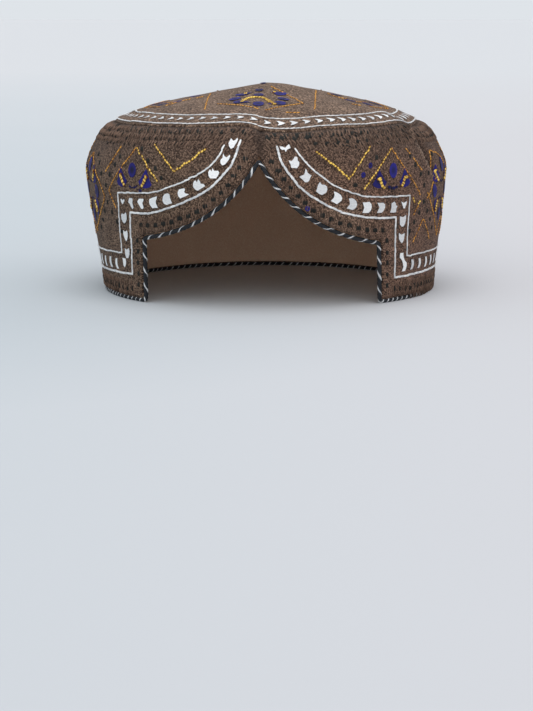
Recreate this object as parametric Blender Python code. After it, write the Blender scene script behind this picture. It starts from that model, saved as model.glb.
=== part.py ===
"""A stiff embroidered sindhi cap: side band, domed crown and the cord that binds its edge.

Metres, +Z up. The cap stands on its hem at z = 0, with its forehead opening towards -Y.
The band is laid out flat first, in pattern coordinates: "along" runs round the cap from the
front seam and "up" is the height above the surface. It is then wrapped onto the oval.
"""
import math

import bmesh
import bpy
from mathutils import Matrix, Vector

MM = 0.001

# Driving sizes, in millimetres
HALF_WIDTH = 93.0        # widest half width, at the shoulder
OVAL = 1.12              # depth of the oval over its width
BAND_WALL = 2.5          # quilted side band, through its thickness
CROWN_WALL = 2.2         # crown, through its thickness
CORD_RADIUS = 1.1        # twisted edge cord
GAP = 0.3                # clearance between sewn pieces
SEAM_HEIGHT = 86.7       # where the band meets the crown
SHOULDER_START = 70.0    # above this the seam's waves show in the band
HEM_LEAN = 1.4           # both sides of the hem stand this far to +X of the shoulder's

# Forehead opening: two lobes that meet in a peak at the front seam and end in a square step
OPENING_HALF = 64.4      # from the front seam to the opening's upright edge, along the cloth
STEP_HEIGHT = 32.8       # the square step, half way between its two sides
STEP_TILT = 1.0          # the -X lobe is this much higher and the +X lobe lower
TILT_START = 15.0        # distance from the seam over which that tilt comes in
PEAK_HEIGHT = 74.8
LOBE_FALL = 26.0         # the lobe drops by a factor of e in this distance from the seam

# Dent beside the right shoulder, as pattern coordinates of its two ends
DENT_TOP = (99.0, 77.5)
DENT_FOOT = (114.0, 60.0)
DENT_DEPTH = 1.3
DENT_HALF_WIDTH = 9.0

# Mesh density
BAND_COLUMNS = 84
OPENING_COLUMNS = 18
LOWER_ROWS = 4
UPPER_ROWS = 11
SHOULDER_CROWDING = 1.35
CORD_SIDES = 8
CORD_STEP = 6.6
CORNER_RADIUS = 2.2
CORNER_STEPS = 3
SHARP_TURN = math.radians(25)
GIRTH_STEPS = 60         # short chords that measure an arc of the oval
WELD = 0.02              # vertices closer than this are one

# Side band section: height above the surface, half width across X
BAND_SECTION = (
    {"height": 0.0, "half_width": 85.3},
    {"height": 15.4, "half_width": 87.1},
    {"height": 36.3, "half_width": 90.1},
    {"height": 57.2, "half_width": 92.6},
    {"height": 62.4, "half_width": HALF_WIDTH},
    {"height": 67.7, "half_width": 91.9},
    {"height": 72.9, "half_width": 89.9},
    {"height": 78.1, "half_width": 87.4},
    {"height": 81.5, "half_width": 85.2},
    {"height": 84.5, "half_width": 82.0},
    {"height": SEAM_HEIGHT, "half_width": 77.8},
)

# Crown section: distance from its centre across X, height above the surface
CROWN_SECTION = (
    {"radius": 0.0, "height": 105.6},
    {"radius": 10.3, "height": 104.3},
    {"radius": 20.6, "height": 102.4},
    {"radius": 36.0, "height": 99.4},
    {"radius": 51.5, "height": 96.2},
    {"radius": 61.8, "height": 93.5},
    {"radius": 72.1, "height": 89.7},
    {"radius": 77.5, "height": 87.4},
)
CROWN_RINGS = 11
CROWN_TIP = 1.6          # radius of the crown's small middle facet
CROWN_FULLNESS = 0.4     # the dome is this much fuller on +X and flatter on -X
FULLNESS_RADIUS = 33.0   # where that difference is largest
WAVE_RADIUS = 45.0       # inside this radius the seam's waves have died out

# Seam waves: angle from the front, positive to +X, and how far the seam stands off its plane
SEAM_WAVES = (
    {"angle": -110.0, "rise": 0.0},
    {"angle": -75.0, "rise": -0.1},
    {"angle": -55.0, "rise": 0.1},
    {"angle": -30.0, "rise": 0.4},
    {"angle": -9.0, "rise": 1.5},
    {"angle": -3.0, "rise": 1.0},
    {"angle": 2.5, "rise": -1.0},
    {"angle": 13.0, "rise": -1.2},
    {"angle": 27.0, "rise": -0.1},
    {"angle": 48.0, "rise": 0.1},
    {"angle": 60.0, "rise": 0.8},
    {"angle": 71.0, "rise": -1.4},
    {"angle": 88.0, "rise": -0.2},
    {"angle": 110.0, "rise": 0.0},
)

COLOURS = {
    "crown": (0.115, 0.080, 0.062),
    "side_band": (0.120, 0.085, 0.066),
    "edge_binding": (0.012, 0.013, 0.018),
}


def read_section(rows, key, value, at):
    """Smooth curve through a section's rows: cubic pieces that share their end slopes."""
    xs = [row[key] for row in rows]
    ys = [row[value] for row in rows]
    at = min(max(at, xs[0]), xs[-1])
    slopes = []
    for i in range(len(xs)):
        before, after = max(i - 1, 0), min(i + 1, len(xs) - 1)
        slopes.append((ys[after] - ys[before]) / (xs[after] - xs[before]))
    i = 0
    while i < len(xs) - 2 and at > xs[i + 1]:
        i += 1
    span = xs[i + 1] - xs[i]
    t = (at - xs[i]) / span
    stay = (1 + 2 * t) * (1 - t) ** 2
    return (stay * ys[i] + (1 - stay) * ys[i + 1]
            + span * t * (1 - t) ** 2 * slopes[i] - span * t * t * (1 - t) * slopes[i + 1])


def smooth_step(t):
    """Rises smoothly from 0 to 1 as t does."""
    t = min(max(t, 0.0), 1.0)
    return t * t * (3 - 2 * t)


def girth_speed(angle):
    """Length run along the widest girth for each radian of the oval angle."""
    return math.hypot(HALF_WIDTH * math.cos(angle), OVAL * HALF_WIDTH * math.sin(angle))


def girth_along(angle):
    """Length of the widest girth from the front to an oval angle."""
    step = angle / GIRTH_STEPS
    return sum(girth_speed((i + 0.5) * step) for i in range(GIRTH_STEPS)) * step


HALF_GIRTH = girth_along(math.pi)


def girth_angle(along):
    """Oval angle, from the front, of a place that lies this far along the widest girth."""
    angle = along / HALF_GIRTH * math.pi
    while abs(along - girth_along(angle)) > WELD / 100:
        angle += (along - girth_along(angle)) / girth_speed(angle)
    return angle


def seam_wave(angle):
    """Rise of the crown's seam at an oval angle."""
    return read_section(SEAM_WAVES, "angle", "rise", math.degrees(angle))


def dent_depth(along, up):
    """Depth of the long dent beside the right shoulder."""
    foot, top = Vector(DENT_FOOT), Vector(DENT_TOP)
    run = top - foot
    t = (Vector((along, up)) - foot).dot(run) / run.length_squared
    away = (Vector((along, up)) - (foot + run * min(max(t, 0.0), 1.0))).length
    return DENT_DEPTH * (1 - smooth_step(away / DENT_HALF_WIDTH))


def grain_angle(along, half):
    """Oval angle of a pattern place where the band's half width is half.

    In front the cloth's upright grain stays upright while the band tapers to its hem.
    """
    angle = girth_angle(along)
    if abs(angle) < math.pi / 2:
        angle += (HALF_WIDTH / half - 1) * math.sin(2 * angle)
    return angle


def band_place(along, up, sink=0.0):
    """A pattern place on the band's outer face, moved inwards by sink, in metres."""
    half = read_section(BAND_SECTION, "height", "half_width", up)
    angle = grain_angle(along, half)
    lift = seam_wave(angle) * smooth_step((up - SHOULDER_START) / (SEAM_HEIGHT - SHOULDER_START))
    half -= sink + dent_depth(along, up)
    lean = HEM_LEAN * smooth_step(1 - up / SHOULDER_START) * math.sin(angle) ** 2
    return Vector((half * math.sin(angle) + lean,
                   -(half + (OVAL - 1) * (half + sink)) * math.cos(angle),
                   up + lift)) * MM


def step_height(along):
    """Height of the opening's square step, carried on round the wall as a level row."""
    fade = math.sin(max(abs(along), OPENING_HALF) / HALF_GIRTH * math.pi)
    fade /= math.sin(OPENING_HALF / HALF_GIRTH * math.pi)
    return STEP_HEIGHT - STEP_TILT * math.tanh(along / TILT_START) * fade


def opening_height(along):
    """Height of the opening's edge above the hem, between its two upright edges."""
    rest = math.exp(-OPENING_HALF / LOBE_FALL)
    fall = (math.exp(-abs(along) / LOBE_FALL) - rest) / (1 - rest)
    base = step_height(along)
    return base + (PEAK_HEIGHT - base) * fall


def new_object(name, bm):
    """Turns a bmesh into a named object with its own material."""
    bmesh.ops.recalc_face_normals(bm, faces=bm.faces)
    mesh = bpy.data.meshes.new(name)
    bm.to_mesh(mesh)
    bm.free()
    mesh.shade_smooth()
    obj = bpy.data.objects.new(name, mesh)
    bpy.context.scene.collection.objects.link(obj)
    material = bpy.data.materials.new(name)
    material.use_nodes = True
    shader = material.node_tree.nodes["Principled BSDF"]
    shader.inputs["Base Color"].default_value = (*COLOURS[name], 1.0)
    shader.inputs["Roughness"].default_value = 0.85
    shader.inputs["Metallic"].default_value = 0.0
    mesh.materials.append(material)
    return obj


def add_wall(obj, thickness):
    """Gives a skin its thickness, inwards from the outer face."""
    wall = obj.modifiers.new("wall", "SOLIDIFY")
    wall.thickness = thickness * MM
    wall.offset = -1.0
    wall.use_even_offset = True
    wall.use_quality_normals = True


def column_along(column):
    """Pattern place of a column: the opening takes the middle ones, the wall the rest."""
    beside = (BAND_COLUMNS - OPENING_COLUMNS) // 2
    if column <= beside:
        return -HALF_GIRTH + (HALF_GIRTH - OPENING_HALF) * column / beside
    if column >= beside + OPENING_COLUMNS:
        past = column - beside - OPENING_COLUMNS
        return OPENING_HALF + (HALF_GIRTH - OPENING_HALF) * past / beside
    return OPENING_HALF * (2 * (column - beside) / OPENING_COLUMNS - 1)


def row_up(row, along):
    """Height of a row: level rows below the step, rows that follow the lobes above it."""
    hem = 2 * CORD_RADIUS + GAP
    base = opening_height(along) if abs(along) < OPENING_HALF else step_height(along)
    if row <= LOWER_ROWS:
        return hem + (base - hem) * row / LOWER_ROWS
    part = 1 - (1 - (row - LOWER_ROWS) / UPPER_ROWS) ** SHOULDER_CROWDING
    return base + (SEAM_HEIGHT - base) * part


def make_side_band():
    """Flat grid with the opening's lower cells taken out, wrapped round and given its wall."""
    rows = LOWER_ROWS + UPPER_ROWS
    bm = bmesh.new()
    bmesh.ops.create_grid(bm, x_segments=BAND_COLUMNS, y_segments=rows, size=1.0)
    cells = {}
    for vert in bm.verts:
        column = round((vert.co.x + 1) / 2 * BAND_COLUMNS)
        row = round((vert.co.y + 1) / 2 * rows)
        cells[vert] = (column, row)
    beside = (BAND_COLUMNS - OPENING_COLUMNS) // 2
    opened = []
    for face in bm.faces:
        column = min(cells[vert][0] for vert in face.verts)
        row = min(cells[vert][1] for vert in face.verts)
        if row < LOWER_ROWS and beside <= column < beside + OPENING_COLUMNS:
            opened.append(face)
    bmesh.ops.delete(bm, geom=opened, context="FACES")
    for vert in bm.verts:
        along = column_along(cells[vert][0])
        vert.co = band_place(along, row_up(cells[vert][1], along))
    bmesh.ops.remove_doubles(bm, verts=bm.verts, dist=WELD * MM)
    obj = new_object("side_band", bm)
    add_wall(obj, BAND_WALL)
    return obj


def crown_place(radius, angle):
    """A place on the crown's outer face, in metres."""
    height = read_section(CROWN_SECTION, "radius", "height", radius)
    edge = CROWN_SECTION[-1]["radius"]
    height += seam_wave(angle) * smooth_step((radius - WAVE_RADIUS) / (edge - WAVE_RADIUS))
    bump = radius / FULLNESS_RADIUS * math.exp(1 - radius / FULLNESS_RADIUS)
    height += CROWN_FULLNESS * bump * (1 - radius / edge) * 2 * math.sin(angle)
    return Vector((radius * math.sin(angle), -OVAL * radius * math.cos(angle), height)) * MM


def make_crown():
    """Domed skin on spokes that line up with the band's columns, then given its wall."""
    edge = CROWN_SECTION[-1]["radius"]
    bm = bmesh.new()
    profile = []
    for ring in range(CROWN_RINGS + 1):
        radius = CROWN_TIP + (edge - CROWN_TIP) * ring / CROWN_RINGS
        profile.append(bm.verts.new((0.0, -radius, 0.0)))
    edges = [bm.edges.new(pair) for pair in zip(profile, profile[1:])]
    bmesh.ops.spin(bm, geom=profile + edges, cent=(0, 0, 0), axis=(0, 0, 1), angle=2 * math.pi,
                   steps=BAND_COLUMNS, use_merge=True, use_duplicate=False)
    bmesh.ops.remove_doubles(bm, verts=bm.verts, dist=WELD)
    inner = [e for e in bm.edges if e.is_boundary and e.verts[0].co.length < 2 * CROWN_TIP]
    bmesh.ops.contextual_create(bm, geom=inner)
    spokes = [grain_angle(column_along(column), BAND_SECTION[-1]["half_width"])
              for column in range(BAND_COLUMNS)]
    for vert in bm.verts:
        turned = math.atan2(vert.co.x, -vert.co.y) / (2 * math.pi) + 0.5
        angle = spokes[round(turned * BAND_COLUMNS) % BAND_COLUMNS]
        vert.co = crown_place(vert.co.length, angle)
    obj = new_object("crown", bm)
    add_wall(obj, CROWN_WALL)
    return obj


def rounded(points, radius, steps):
    """The path with each sharp corner between its ends turned into a short arc."""
    smooth = [Vector(points[0])]
    for before, corner, after in zip(points, points[1:], points[2:]):
        here = Vector(corner)
        back = (Vector(before) - here).normalized()
        ahead = (Vector(after) - here).normalized()
        turn = math.pi - back.angle(ahead)
        if turn < SHARP_TURN:
            smooth.append(here)
            continue
        middle = here + (back + ahead).normalized() * radius / math.cos(turn / 2)
        start = here + back * radius * math.tan(turn / 2) - middle
        end = here + ahead * radius * math.tan(turn / 2) - middle
        for k in range(steps + 1):
            t = k / steps
            weights = math.sin((1 - t) * turn), math.sin(t * turn)
            smooth.append(middle + (start * weights[0] + end * weights[1]) / math.sin(turn))
    return smooth + [Vector(points[-1])]


def cord_route():
    """Middle of the edge cord as pattern places, once round from the middle of the back."""
    off = CORD_RADIUS + GAP
    low = CORD_RADIUS * math.cos(math.pi / CORD_SIDES)
    side = OPENING_HALF - off
    halves = []
    for way in (-1, 1):
        half = []
        along = 0.0
        while along < side - CORD_STEP / 2:
            slope = (opening_height(way * (along + 0.1)) - opening_height(way * along)) / 0.1
            half.append((along, opening_height(way * along) - off * math.hypot(1, slope)))
            along += CORD_STEP / math.hypot(1, slope)
        corner = step_height(way * OPENING_HALF) - off
        half.append((side, corner))
        count = round((corner - low) / CORD_STEP)
        half += [(side, corner + (low - corner) * i / count) for i in range(1, count + 1)]
        count = round((HALF_GIRTH - side) / CORD_STEP)
        half += [(side + (HALF_GIRTH - side) * i / count, low) for i in range(1, count + 1)]
        halves.append([(way * along, up) for along, up in half])
    left, right = halves
    return rounded(left[:0:-1] + right, CORNER_RADIUS, CORNER_STEPS)[:-1]


def cord_frame(places, i):
    """Stands a flat circle across the cord, with one of its sides facing down at the hem."""
    run = (places[(i + 1) % len(places)] - places[i - 1]).normalized()
    out = Vector((places[i].x, places[i].y / OVAL ** 2, 0.0))
    out = (out - run * out.dot(run)).normalized()
    frame = Matrix((out, run.cross(out), run)).transposed().to_4x4()
    return Matrix.Translation(places[i]) @ frame


def make_edge_binding():
    """One closed tube along the hem and round the opening."""
    places = [band_place(along, up, BAND_WALL / 2) for along, up in cord_route()]
    frames = [cord_frame(places, i) for i in range(len(places))]
    bm = bmesh.new()
    turn = Matrix.Rotation(math.pi / CORD_SIDES, 4, "Z")
    bmesh.ops.create_circle(bm, segments=CORD_SIDES, radius=CORD_RADIUS * MM,
                            matrix=frames[0] @ turn)
    loop = list(bm.edges)
    for here, ahead in zip(frames, frames[1:] + frames[:1]):
        grown = bmesh.ops.extrude_edge_only(bm, edges=loop)["geom"]
        moved = [part for part in grown if isinstance(part, bmesh.types.BMVert)]
        loop = [part for part in grown if isinstance(part, bmesh.types.BMEdge)
                and set(part.verts) <= set(moved)]
        bmesh.ops.transform(bm, matrix=ahead @ here.inverted(), verts=moved)
    bmesh.ops.remove_doubles(bm, verts=bm.verts, dist=WELD * MM)
    return new_object("edge_binding", bm)


def centre_over_origin(pieces):
    """Moves the pieces sideways together, so that the cap's box stands centred on the origin."""
    corners = [vert.co for piece in pieces for vert in piece.data.vertices]
    middle = [(min(co[k] for co in corners) + max(co[k] for co in corners)) / 2 for k in (0, 1)]
    for piece in pieces:
        piece.data.transform(Matrix.Translation((-middle[0], -middle[1], 0.0)))


def main():
    for old in list(bpy.data.objects):
        bpy.data.objects.remove(old, do_unlink=True)
    centre_over_origin([make_side_band(), make_crown(), make_edge_binding()])


main()
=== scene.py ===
# %% [markdown]
# A sindhi cap, embroidered all over and edged with a twisted cord.
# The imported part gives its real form: a domed crown, a side band with a two-lobed opening at the
# front, and the edge binding. This script makes what the eye sees on them: the stitched cloth, the
# white borders with their leaves, the navy and gold motifs, the dark knots and the striped cord.
# Everything is worked out flat first, as an embroiderer would draw it on the cloth, and is then
# laid round the cap by one function for the band and one for the crown.

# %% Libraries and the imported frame
import math

import bmesh
import bpy
import numpy as np
from mathutils import Matrix, Vector


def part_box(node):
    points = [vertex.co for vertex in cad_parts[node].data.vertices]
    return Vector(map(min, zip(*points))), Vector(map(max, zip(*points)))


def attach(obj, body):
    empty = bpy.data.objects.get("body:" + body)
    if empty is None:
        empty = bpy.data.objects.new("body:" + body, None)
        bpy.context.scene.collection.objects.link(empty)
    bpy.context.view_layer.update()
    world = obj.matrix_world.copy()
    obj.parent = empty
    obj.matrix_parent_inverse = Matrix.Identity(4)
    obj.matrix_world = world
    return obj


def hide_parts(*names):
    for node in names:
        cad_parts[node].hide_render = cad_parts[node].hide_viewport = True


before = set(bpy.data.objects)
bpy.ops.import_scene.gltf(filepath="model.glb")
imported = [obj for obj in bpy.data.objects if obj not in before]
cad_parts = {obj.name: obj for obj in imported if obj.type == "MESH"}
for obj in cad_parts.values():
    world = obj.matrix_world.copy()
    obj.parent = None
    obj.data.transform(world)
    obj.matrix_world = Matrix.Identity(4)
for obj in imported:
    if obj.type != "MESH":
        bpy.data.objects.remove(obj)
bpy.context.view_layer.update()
print("Packed nodes:", sorted(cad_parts))

# %% [markdown]
# The camera and the light come first, because every later choice of colour is judged through them.
# The cap is seen from the front, a little from above, through a long lens. A large pale floor with
# a world of nearly the same colour gives the soft, almost shadowless light of a studio corner.

# %% Camera
CAMERA_DISTANCE = 1.150
CAMERA_HEIGHT = 0.143
CAMERA_YAW = math.radians(2.0)
CAMERA_PITCH = math.radians(8.9)
FOCAL_LENGTH = 112.0

camera_data = bpy.data.cameras.new("camera")
camera_data.lens = FOCAL_LENGTH
camera_data.sensor_width = 36.0
camera_data.clip_start = 0.01
camera_data.clip_end = 100.0
camera = bpy.data.objects.new("camera", camera_data)
camera.location = (CAMERA_DISTANCE * math.sin(CAMERA_YAW),
                   -CAMERA_DISTANCE * math.cos(CAMERA_YAW), CAMERA_HEIGHT)
camera.rotation_euler = (math.pi / 2 - CAMERA_PITCH, 0.0, CAMERA_YAW)
bpy.context.scene.collection.objects.link(camera)
bpy.context.scene.camera = camera
print("Camera at", [round(place, 3) for place in camera.location])


# %% [markdown]
# Sizes are kept in millimetres, as a cap maker measures, and become metres when a piece is laid on
# the cap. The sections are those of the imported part: they are the rows of a smooth curve, and the
# same curve is read here, so that the cloth lies exactly where the part's walls are.

# %% Sizes of the cap
MM = 0.001
HALF_WIDTH = 93.0        # half of the band's widest girth, across X
OVAL = 1.12              # the cap is this much longer than wide
BAND_WALL = 2.5
CROWN_WALL = 2.2
CORD_RADIUS = 1.1
SEAM_HEIGHT = 86.7       # where the band meets the crown
SHOULDER_START = 70.0
HEM_LEAN = 1.4           # the hem sits this much towards +X on both sides
OPENING_HALF = 64.4      # half of the front opening, measured along the girth
STEP_HEIGHT = 32.8       # the opening's square step
STEP_TILT = 1.0
TILT_START = 15.0
PEAK_HEIGHT = 74.8       # top of the pointed arch
LOBE_FALL = 26.0
DENT_FOOT = np.array((114.0, 60.0))
DENT_TOP = np.array((99.0, 77.5))
DENT_DEPTH = 1.3
DENT_HALF_WIDTH = 9.0

BAND_SECTION = (         # height, half width
    (0.0, 85.3), (15.4, 87.1), (36.3, 90.1), (57.2, 92.6), (62.4, HALF_WIDTH), (67.7, 91.9),
    (72.9, 89.9), (78.1, 87.4), (81.5, 85.2), (84.5, 82.0), (SEAM_HEIGHT, 77.8),
)
CROWN_SECTION = (        # radius across X, height
    (0.0, 105.6), (10.3, 104.3), (20.6, 102.4), (36.0, 99.4), (51.5, 96.2), (61.8, 93.5),
    (72.1, 89.7), (77.5, 87.4),
)
SEAM_WAVES = (           # degrees from the front, rise of the seam
    (-110.0, 0.0), (-75.0, -0.1), (-55.0, 0.1), (-30.0, 0.4), (-9.0, 1.5), (-3.0, 1.0),
    (2.5, -1.0), (13.0, -1.2), (27.0, -0.1), (48.0, 0.1), (60.0, 0.8), (71.0, -1.4),
    (88.0, -0.2), (110.0, 0.0),
)
CROWN_FULLNESS = 0.4
FULLNESS_RADIUS = 33.0
WAVE_RADIUS = 45.0
CROWN_EDGE = CROWN_SECTION[-1][0]


# %% Smooth curves through short tables
def smooth_curve(rows):
    """A function that runs smoothly through rows of (place, value)."""
    xs, ys = np.array(rows, dtype=float).T
    before = np.maximum(np.arange(len(xs)) - 1, 0)
    after = np.minimum(np.arange(len(xs)) + 1, len(xs) - 1)
    slopes = (ys[after] - ys[before]) / (xs[after] - xs[before])

    def read(at):
        at = np.clip(at, xs[0], xs[-1])
        i = np.clip(np.searchsorted(xs, at) - 1, 0, len(xs) - 2)
        span = xs[i + 1] - xs[i]
        t = (at - xs[i]) / span
        stay = (1 + 2 * t) * (1 - t) ** 2
        bend = span * t * (1 - t) * ((1 - t) * slopes[i] - t * slopes[i + 1])
        return stay * ys[i] + (1 - stay) * ys[i + 1] + bend

    return read


def smooth_step(t):
    """Rises smoothly from 0 to 1 as t does."""
    t = np.clip(t, 0.0, 1.0)
    return t * t * (3 - 2 * t)


band_half_width = smooth_curve(BAND_SECTION)
crown_height = smooth_curve(CROWN_SECTION)
seam_rise = smooth_curve(SEAM_WAVES)
angle_table = np.linspace(0.0, math.pi, 4001)
speed = np.hypot(HALF_WIDTH * np.cos(angle_table), OVAL * HALF_WIDTH * np.sin(angle_table))
run = (speed[1:] + speed[:-1]) / 2 * np.diff(angle_table)
girth_table = np.concatenate([[0.0], np.cumsum(run)])
HALF_GIRTH = girth_table[-1]
print("Girth:", round(2 * HALF_GIRTH), "mm")


# %% [markdown]
# A place in the band's pattern is how far it lies along the girth from the front, how far it is up
# from the hem, and its height above the cloth. Any stitch can be drawn flat in these three numbers
# and then wrapped round the cap, which is also how the real cloth was worked before it was sewn.

# %% Pattern place to cap: the band
NEAR = 0.05              # step for measuring a slope, in mm


def wrapped(along):
    """The same place counted from the front, between minus and plus half the girth."""
    return (along + HALF_GIRTH) % (2 * HALF_GIRTH) - HALF_GIRTH


def grain_angle(along, half):
    """Oval angle of a pattern place: in front the upright grain stays upright."""
    along = wrapped(along)
    angle = np.sign(along) * np.interp(np.abs(along), girth_table, angle_table)
    turned = angle + (HALF_WIDTH / half - 1) * np.sin(2 * angle)
    return np.where(np.abs(angle) < math.pi / 2, turned, angle)


def dent_depth(along, up):
    """Depth of the long dent beside the right shoulder."""
    ridge = DENT_TOP - DENT_FOOT
    t = ((along - DENT_FOOT[0]) * ridge[0] + (up - DENT_FOOT[1]) * ridge[1]) / (ridge @ ridge)
    t = np.clip(t, 0.0, 1.0)
    away = np.hypot(along - DENT_FOOT[0] - t * ridge[0], up - DENT_FOOT[1] - t * ridge[1])
    return DENT_DEPTH * (1 - smooth_step(away / DENT_HALF_WIDTH))


def band_at(along, up, sink=0.0):
    """A pattern place on the band's wall, sunk inwards, in mm."""
    half = band_half_width(up)
    angle = grain_angle(along, half)
    lift = seam_rise(np.degrees(angle))
    lift = lift * smooth_step((up - SHOULDER_START) / (SEAM_HEIGHT - SHOULDER_START))
    half = half - sink - dent_depth(along, up)
    lean = HEM_LEAN * smooth_step(1 - up / SHOULDER_START) * np.sin(angle) ** 2
    x = half * np.sin(angle) + lean
    y = -(half + (OVAL - 1) * (half + sink)) * np.cos(angle)
    return np.stack((x, y, up + lift), axis=-1)


def crown_at(x, y):
    """A place on the crown's wall, seen from above, in mm."""
    radius = np.hypot(x, y / OVAL)
    angle = np.arctan2(x, -y / OVAL)
    z = crown_height(radius)
    wave = smooth_step((radius - WAVE_RADIUS) / (CROWN_EDGE - WAVE_RADIUS))
    z = z + seam_rise(np.degrees(angle)) * wave
    bump = radius / FULLNESS_RADIUS * np.exp(1 - radius / FULLNESS_RADIUS)
    z = z + CROWN_FULLNESS * bump * (1 - radius / CROWN_EDGE) * 2 * np.sin(angle)
    return np.stack((x, y, z), axis=-1)


crown_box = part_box("crown")
crown_middle = (np.array(crown_box[0]) + np.array(crown_box[1])) / 2
CAP_MIDDLE = np.array((crown_middle[0], crown_middle[1], 0.0))
print("The packed cap stands", [round(float(c) / MM, 2) for c in CAP_MIDDLE[:2]], "mm off its middle")


# %% [markdown]
# Hand-stitched cloth is never quite flat. A low relief is added to both surfaces: slow swells, fine
# upright ribs on the shoulder where the cloth is drawn in, the pinched seam above the arch's point,
# the groove below the crown, the tuck under the crown's edge and the fold on the right shoulder. It
# could be sculpted by hand. Formulas are used because every stitch is laid on the same relief as
# the cloth, so nothing floats or sinks.

# %% Relief of the cloth
BAND_SWELL = 0.14
CROWN_SWELL = 0.16
BACK_CALM = 12.0         # the band's swells fade this near to the middle of the back
RIB_PITCH = 2 * HALF_GIRTH / 206      # a whole number of ribs, so that they meet at the back
RIB_HEIGHT = 0.22
SEAM_ALONG = 0.5         # the upright seam in front, between the two lobes
SEAM_DEPTH = 0.9
SEAM_WIDTH = 1.3
GROOVE_HEIGHT = 79.3     # the shallow groove below the crown
GROOVE_WIDTH = 0.6
GROOVE_DEPTH = 0.15
GROOVE_MORE = 0.2        # how much deeper it is on the left
TUCK_DEPTH = 0.7         # how far the cloth goes in under the crown's edge
CREASE_SWELL = 1.3       # the fold's near side swells up
CREASE_DROP = 2.8        # and its far side drops away
CREASE_LINE = (          # height, place along the girth of the fold's ridge
    (59.3, 117.4), (62.1, 111.8), (65.9, 106.8), (69.5, 102.8), (73.9, 99.3), (77.7, 94.9),
    (81.8, 91.6), (85.8, 91.4),
)


def swell(a, b):
    """Slow irregular swelling of a surface, about one unit high."""
    return (np.sin(a / 7.3 + 1.1 * np.sin(b / 9.1)) * np.cos(b / 6.1 + 0.7 * np.sin(a / 11.7))
            + 0.6 * np.sin(a / 3.9 + b / 5.3) * np.sin(b / 4.7 - a / 8.9))


crease_line = smooth_curve(CREASE_LINE)


def crease_fade(up):
    """The fold dies out at its foot and under the crown's edge."""
    return smooth_step((up - 57.0) / 7.0) * (1 - smooth_step((up - 84.5) / 2.5))


def crease(along, up):
    """The fold on the right shoulder: the near side swells up to it, the far side drops away."""
    away = along - crease_line(up)
    near = CREASE_SWELL * np.exp(-(away / 5.0) ** 2)
    drop = smooth_step(away / 1.7) * np.exp(-(np.maximum(away - 1.7, 0.0) / 6.0) ** 2)
    drop *= CREASE_DROP
    return crease_fade(up) * (near - drop)


def band_relief(along, up):
    """Height of the band's cloth above its smooth wall, in mm."""
    ribs = smooth_step((up - 60.0) / 12.0) * (1 - smooth_step((up - 84.0) / 2.0))
    rib_wave = np.abs(np.sin(math.pi * (along + 0.5 * np.sin(up / 3.1)) / RIB_PITCH))
    seam = np.exp(-((along - SEAM_ALONG) / SEAM_WIDTH) ** 2) * smooth_step((up - 66.0) / 6.0)
    calm = smooth_step((HALF_GIRTH - np.abs(along)) / BACK_CALM)
    groove = np.exp(-((up - GROOVE_HEIGHT) / GROOVE_WIDTH) ** 2)
    groove *= GROOVE_DEPTH + GROOVE_MORE * smooth_step(-along / 4.0) * calm
    tuck = TUCK_DEPTH * smooth_step((up - 85.0) / 1.6)
    swells = BAND_SWELL * calm * swell(along, up) + RIB_HEIGHT * ribs * (rib_wave - 0.6)
    return swells + crease(along, up) - SEAM_DEPTH * seam - groove - tuck


def band_painted_shading(along, up):
    """Painted light and shade on the band: a highlight on the fold's ridge and a lighter right margin
    above 0, shade beyond the fold and in the front seam below 0.
    """
    # Painted shade in the dent of the front seam.
    seam = np.exp(-((along - SEAM_ALONG) / 2.6) ** 2) * smooth_step((up - 62.0) / 8.0)
    away = along - crease_line(up)
    # Painted highlight along the fold's ridge, and painted shade beyond it.
    ridge_highlight = np.exp(-((away + 0.6) / 1.2) ** 2)
    shaded = smooth_step(away / 1.5) * (1 - smooth_step((away - 3.0) / 9.0))
    # Lighter towards the right margin beside the opening, above the hem.
    margin = np.exp(-((along - 38.0) / 22.0) ** 2) * (1 - smooth_step((up - 46.0) / 8.0))
    return crease_fade(up) * (1.5 * ridge_highlight - 0.6 * shaded) - 0.6 * seam + 0.6 * margin


def crown_relief(x, y):
    """Height of the crown's cloth above its smooth wall, in mm."""
    return CROWN_SWELL * swell(x + 40.0, y - 13.0)


def raised(surface, relief):
    """A function that lays (across, up, height) places on a surface with its relief, in metres."""
    def lay(a, b, height):
        here = surface(a, b)
        across = surface(a + NEAR, b) - surface(a - NEAR, b)
        upward = surface(a, b + NEAR) - surface(a, b - NEAR)
        out = np.cross(across, upward)
        out /= np.linalg.norm(out, axis=-1, keepdims=True)
        return (here + out * (relief(a, b) + height)[..., None]) * MM + CAP_MIDDLE
    return lay


on_band = raised(band_at, band_relief)
on_crown = raised(crown_at, crown_relief)
tip = on_crown(np.array([0.0]), np.array([0.0]), np.array([0.0]))[0]
print("Top of the cap:", round(float(tip[2]) / MM, 1), "mm")


# %% [markdown]
# Every piece goes through the same last steps: its mesh becomes an object at the origin, it takes its
# material, it is hung on the body it rides on, and the imported node it stands for, if any, is
# hidden.

# %% Finishing a piece
def finish_piece(name, mesh, material, node=None):
    """Makes the object, smooths it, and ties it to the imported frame."""
    mesh.name = name
    mesh.shade_smooth()
    mesh.materials.append(material)
    piece = bpy.data.objects.new(name, mesh)
    bpy.context.scene.collection.objects.link(piece)
    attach(piece, "root")
    if node:
        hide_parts(node)
    print(name, "has", len(mesh.polygons), "faces")
    return piece


def coordinates(mesh):
    """The mesh's vertex places as an array of rows."""
    flat = np.empty(len(mesh.vertices) * 3)
    mesh.vertices.foreach_get("co", flat)
    return flat.reshape(-1, 3)


def give_pattern_map(mesh, pattern):
    """Stores each vertex's pattern place, in mm, as the UV map that the cloth's finish reads."""
    corners = np.empty(len(mesh.loops), dtype=np.int32)
    mesh.loops.foreach_get("vertex_index", corners)
    uv_map = mesh.uv_layers.new(name="pattern")
    uv_map.data.foreach_set("uv", pattern[corners, :2].astype(np.float32).ravel())


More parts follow.
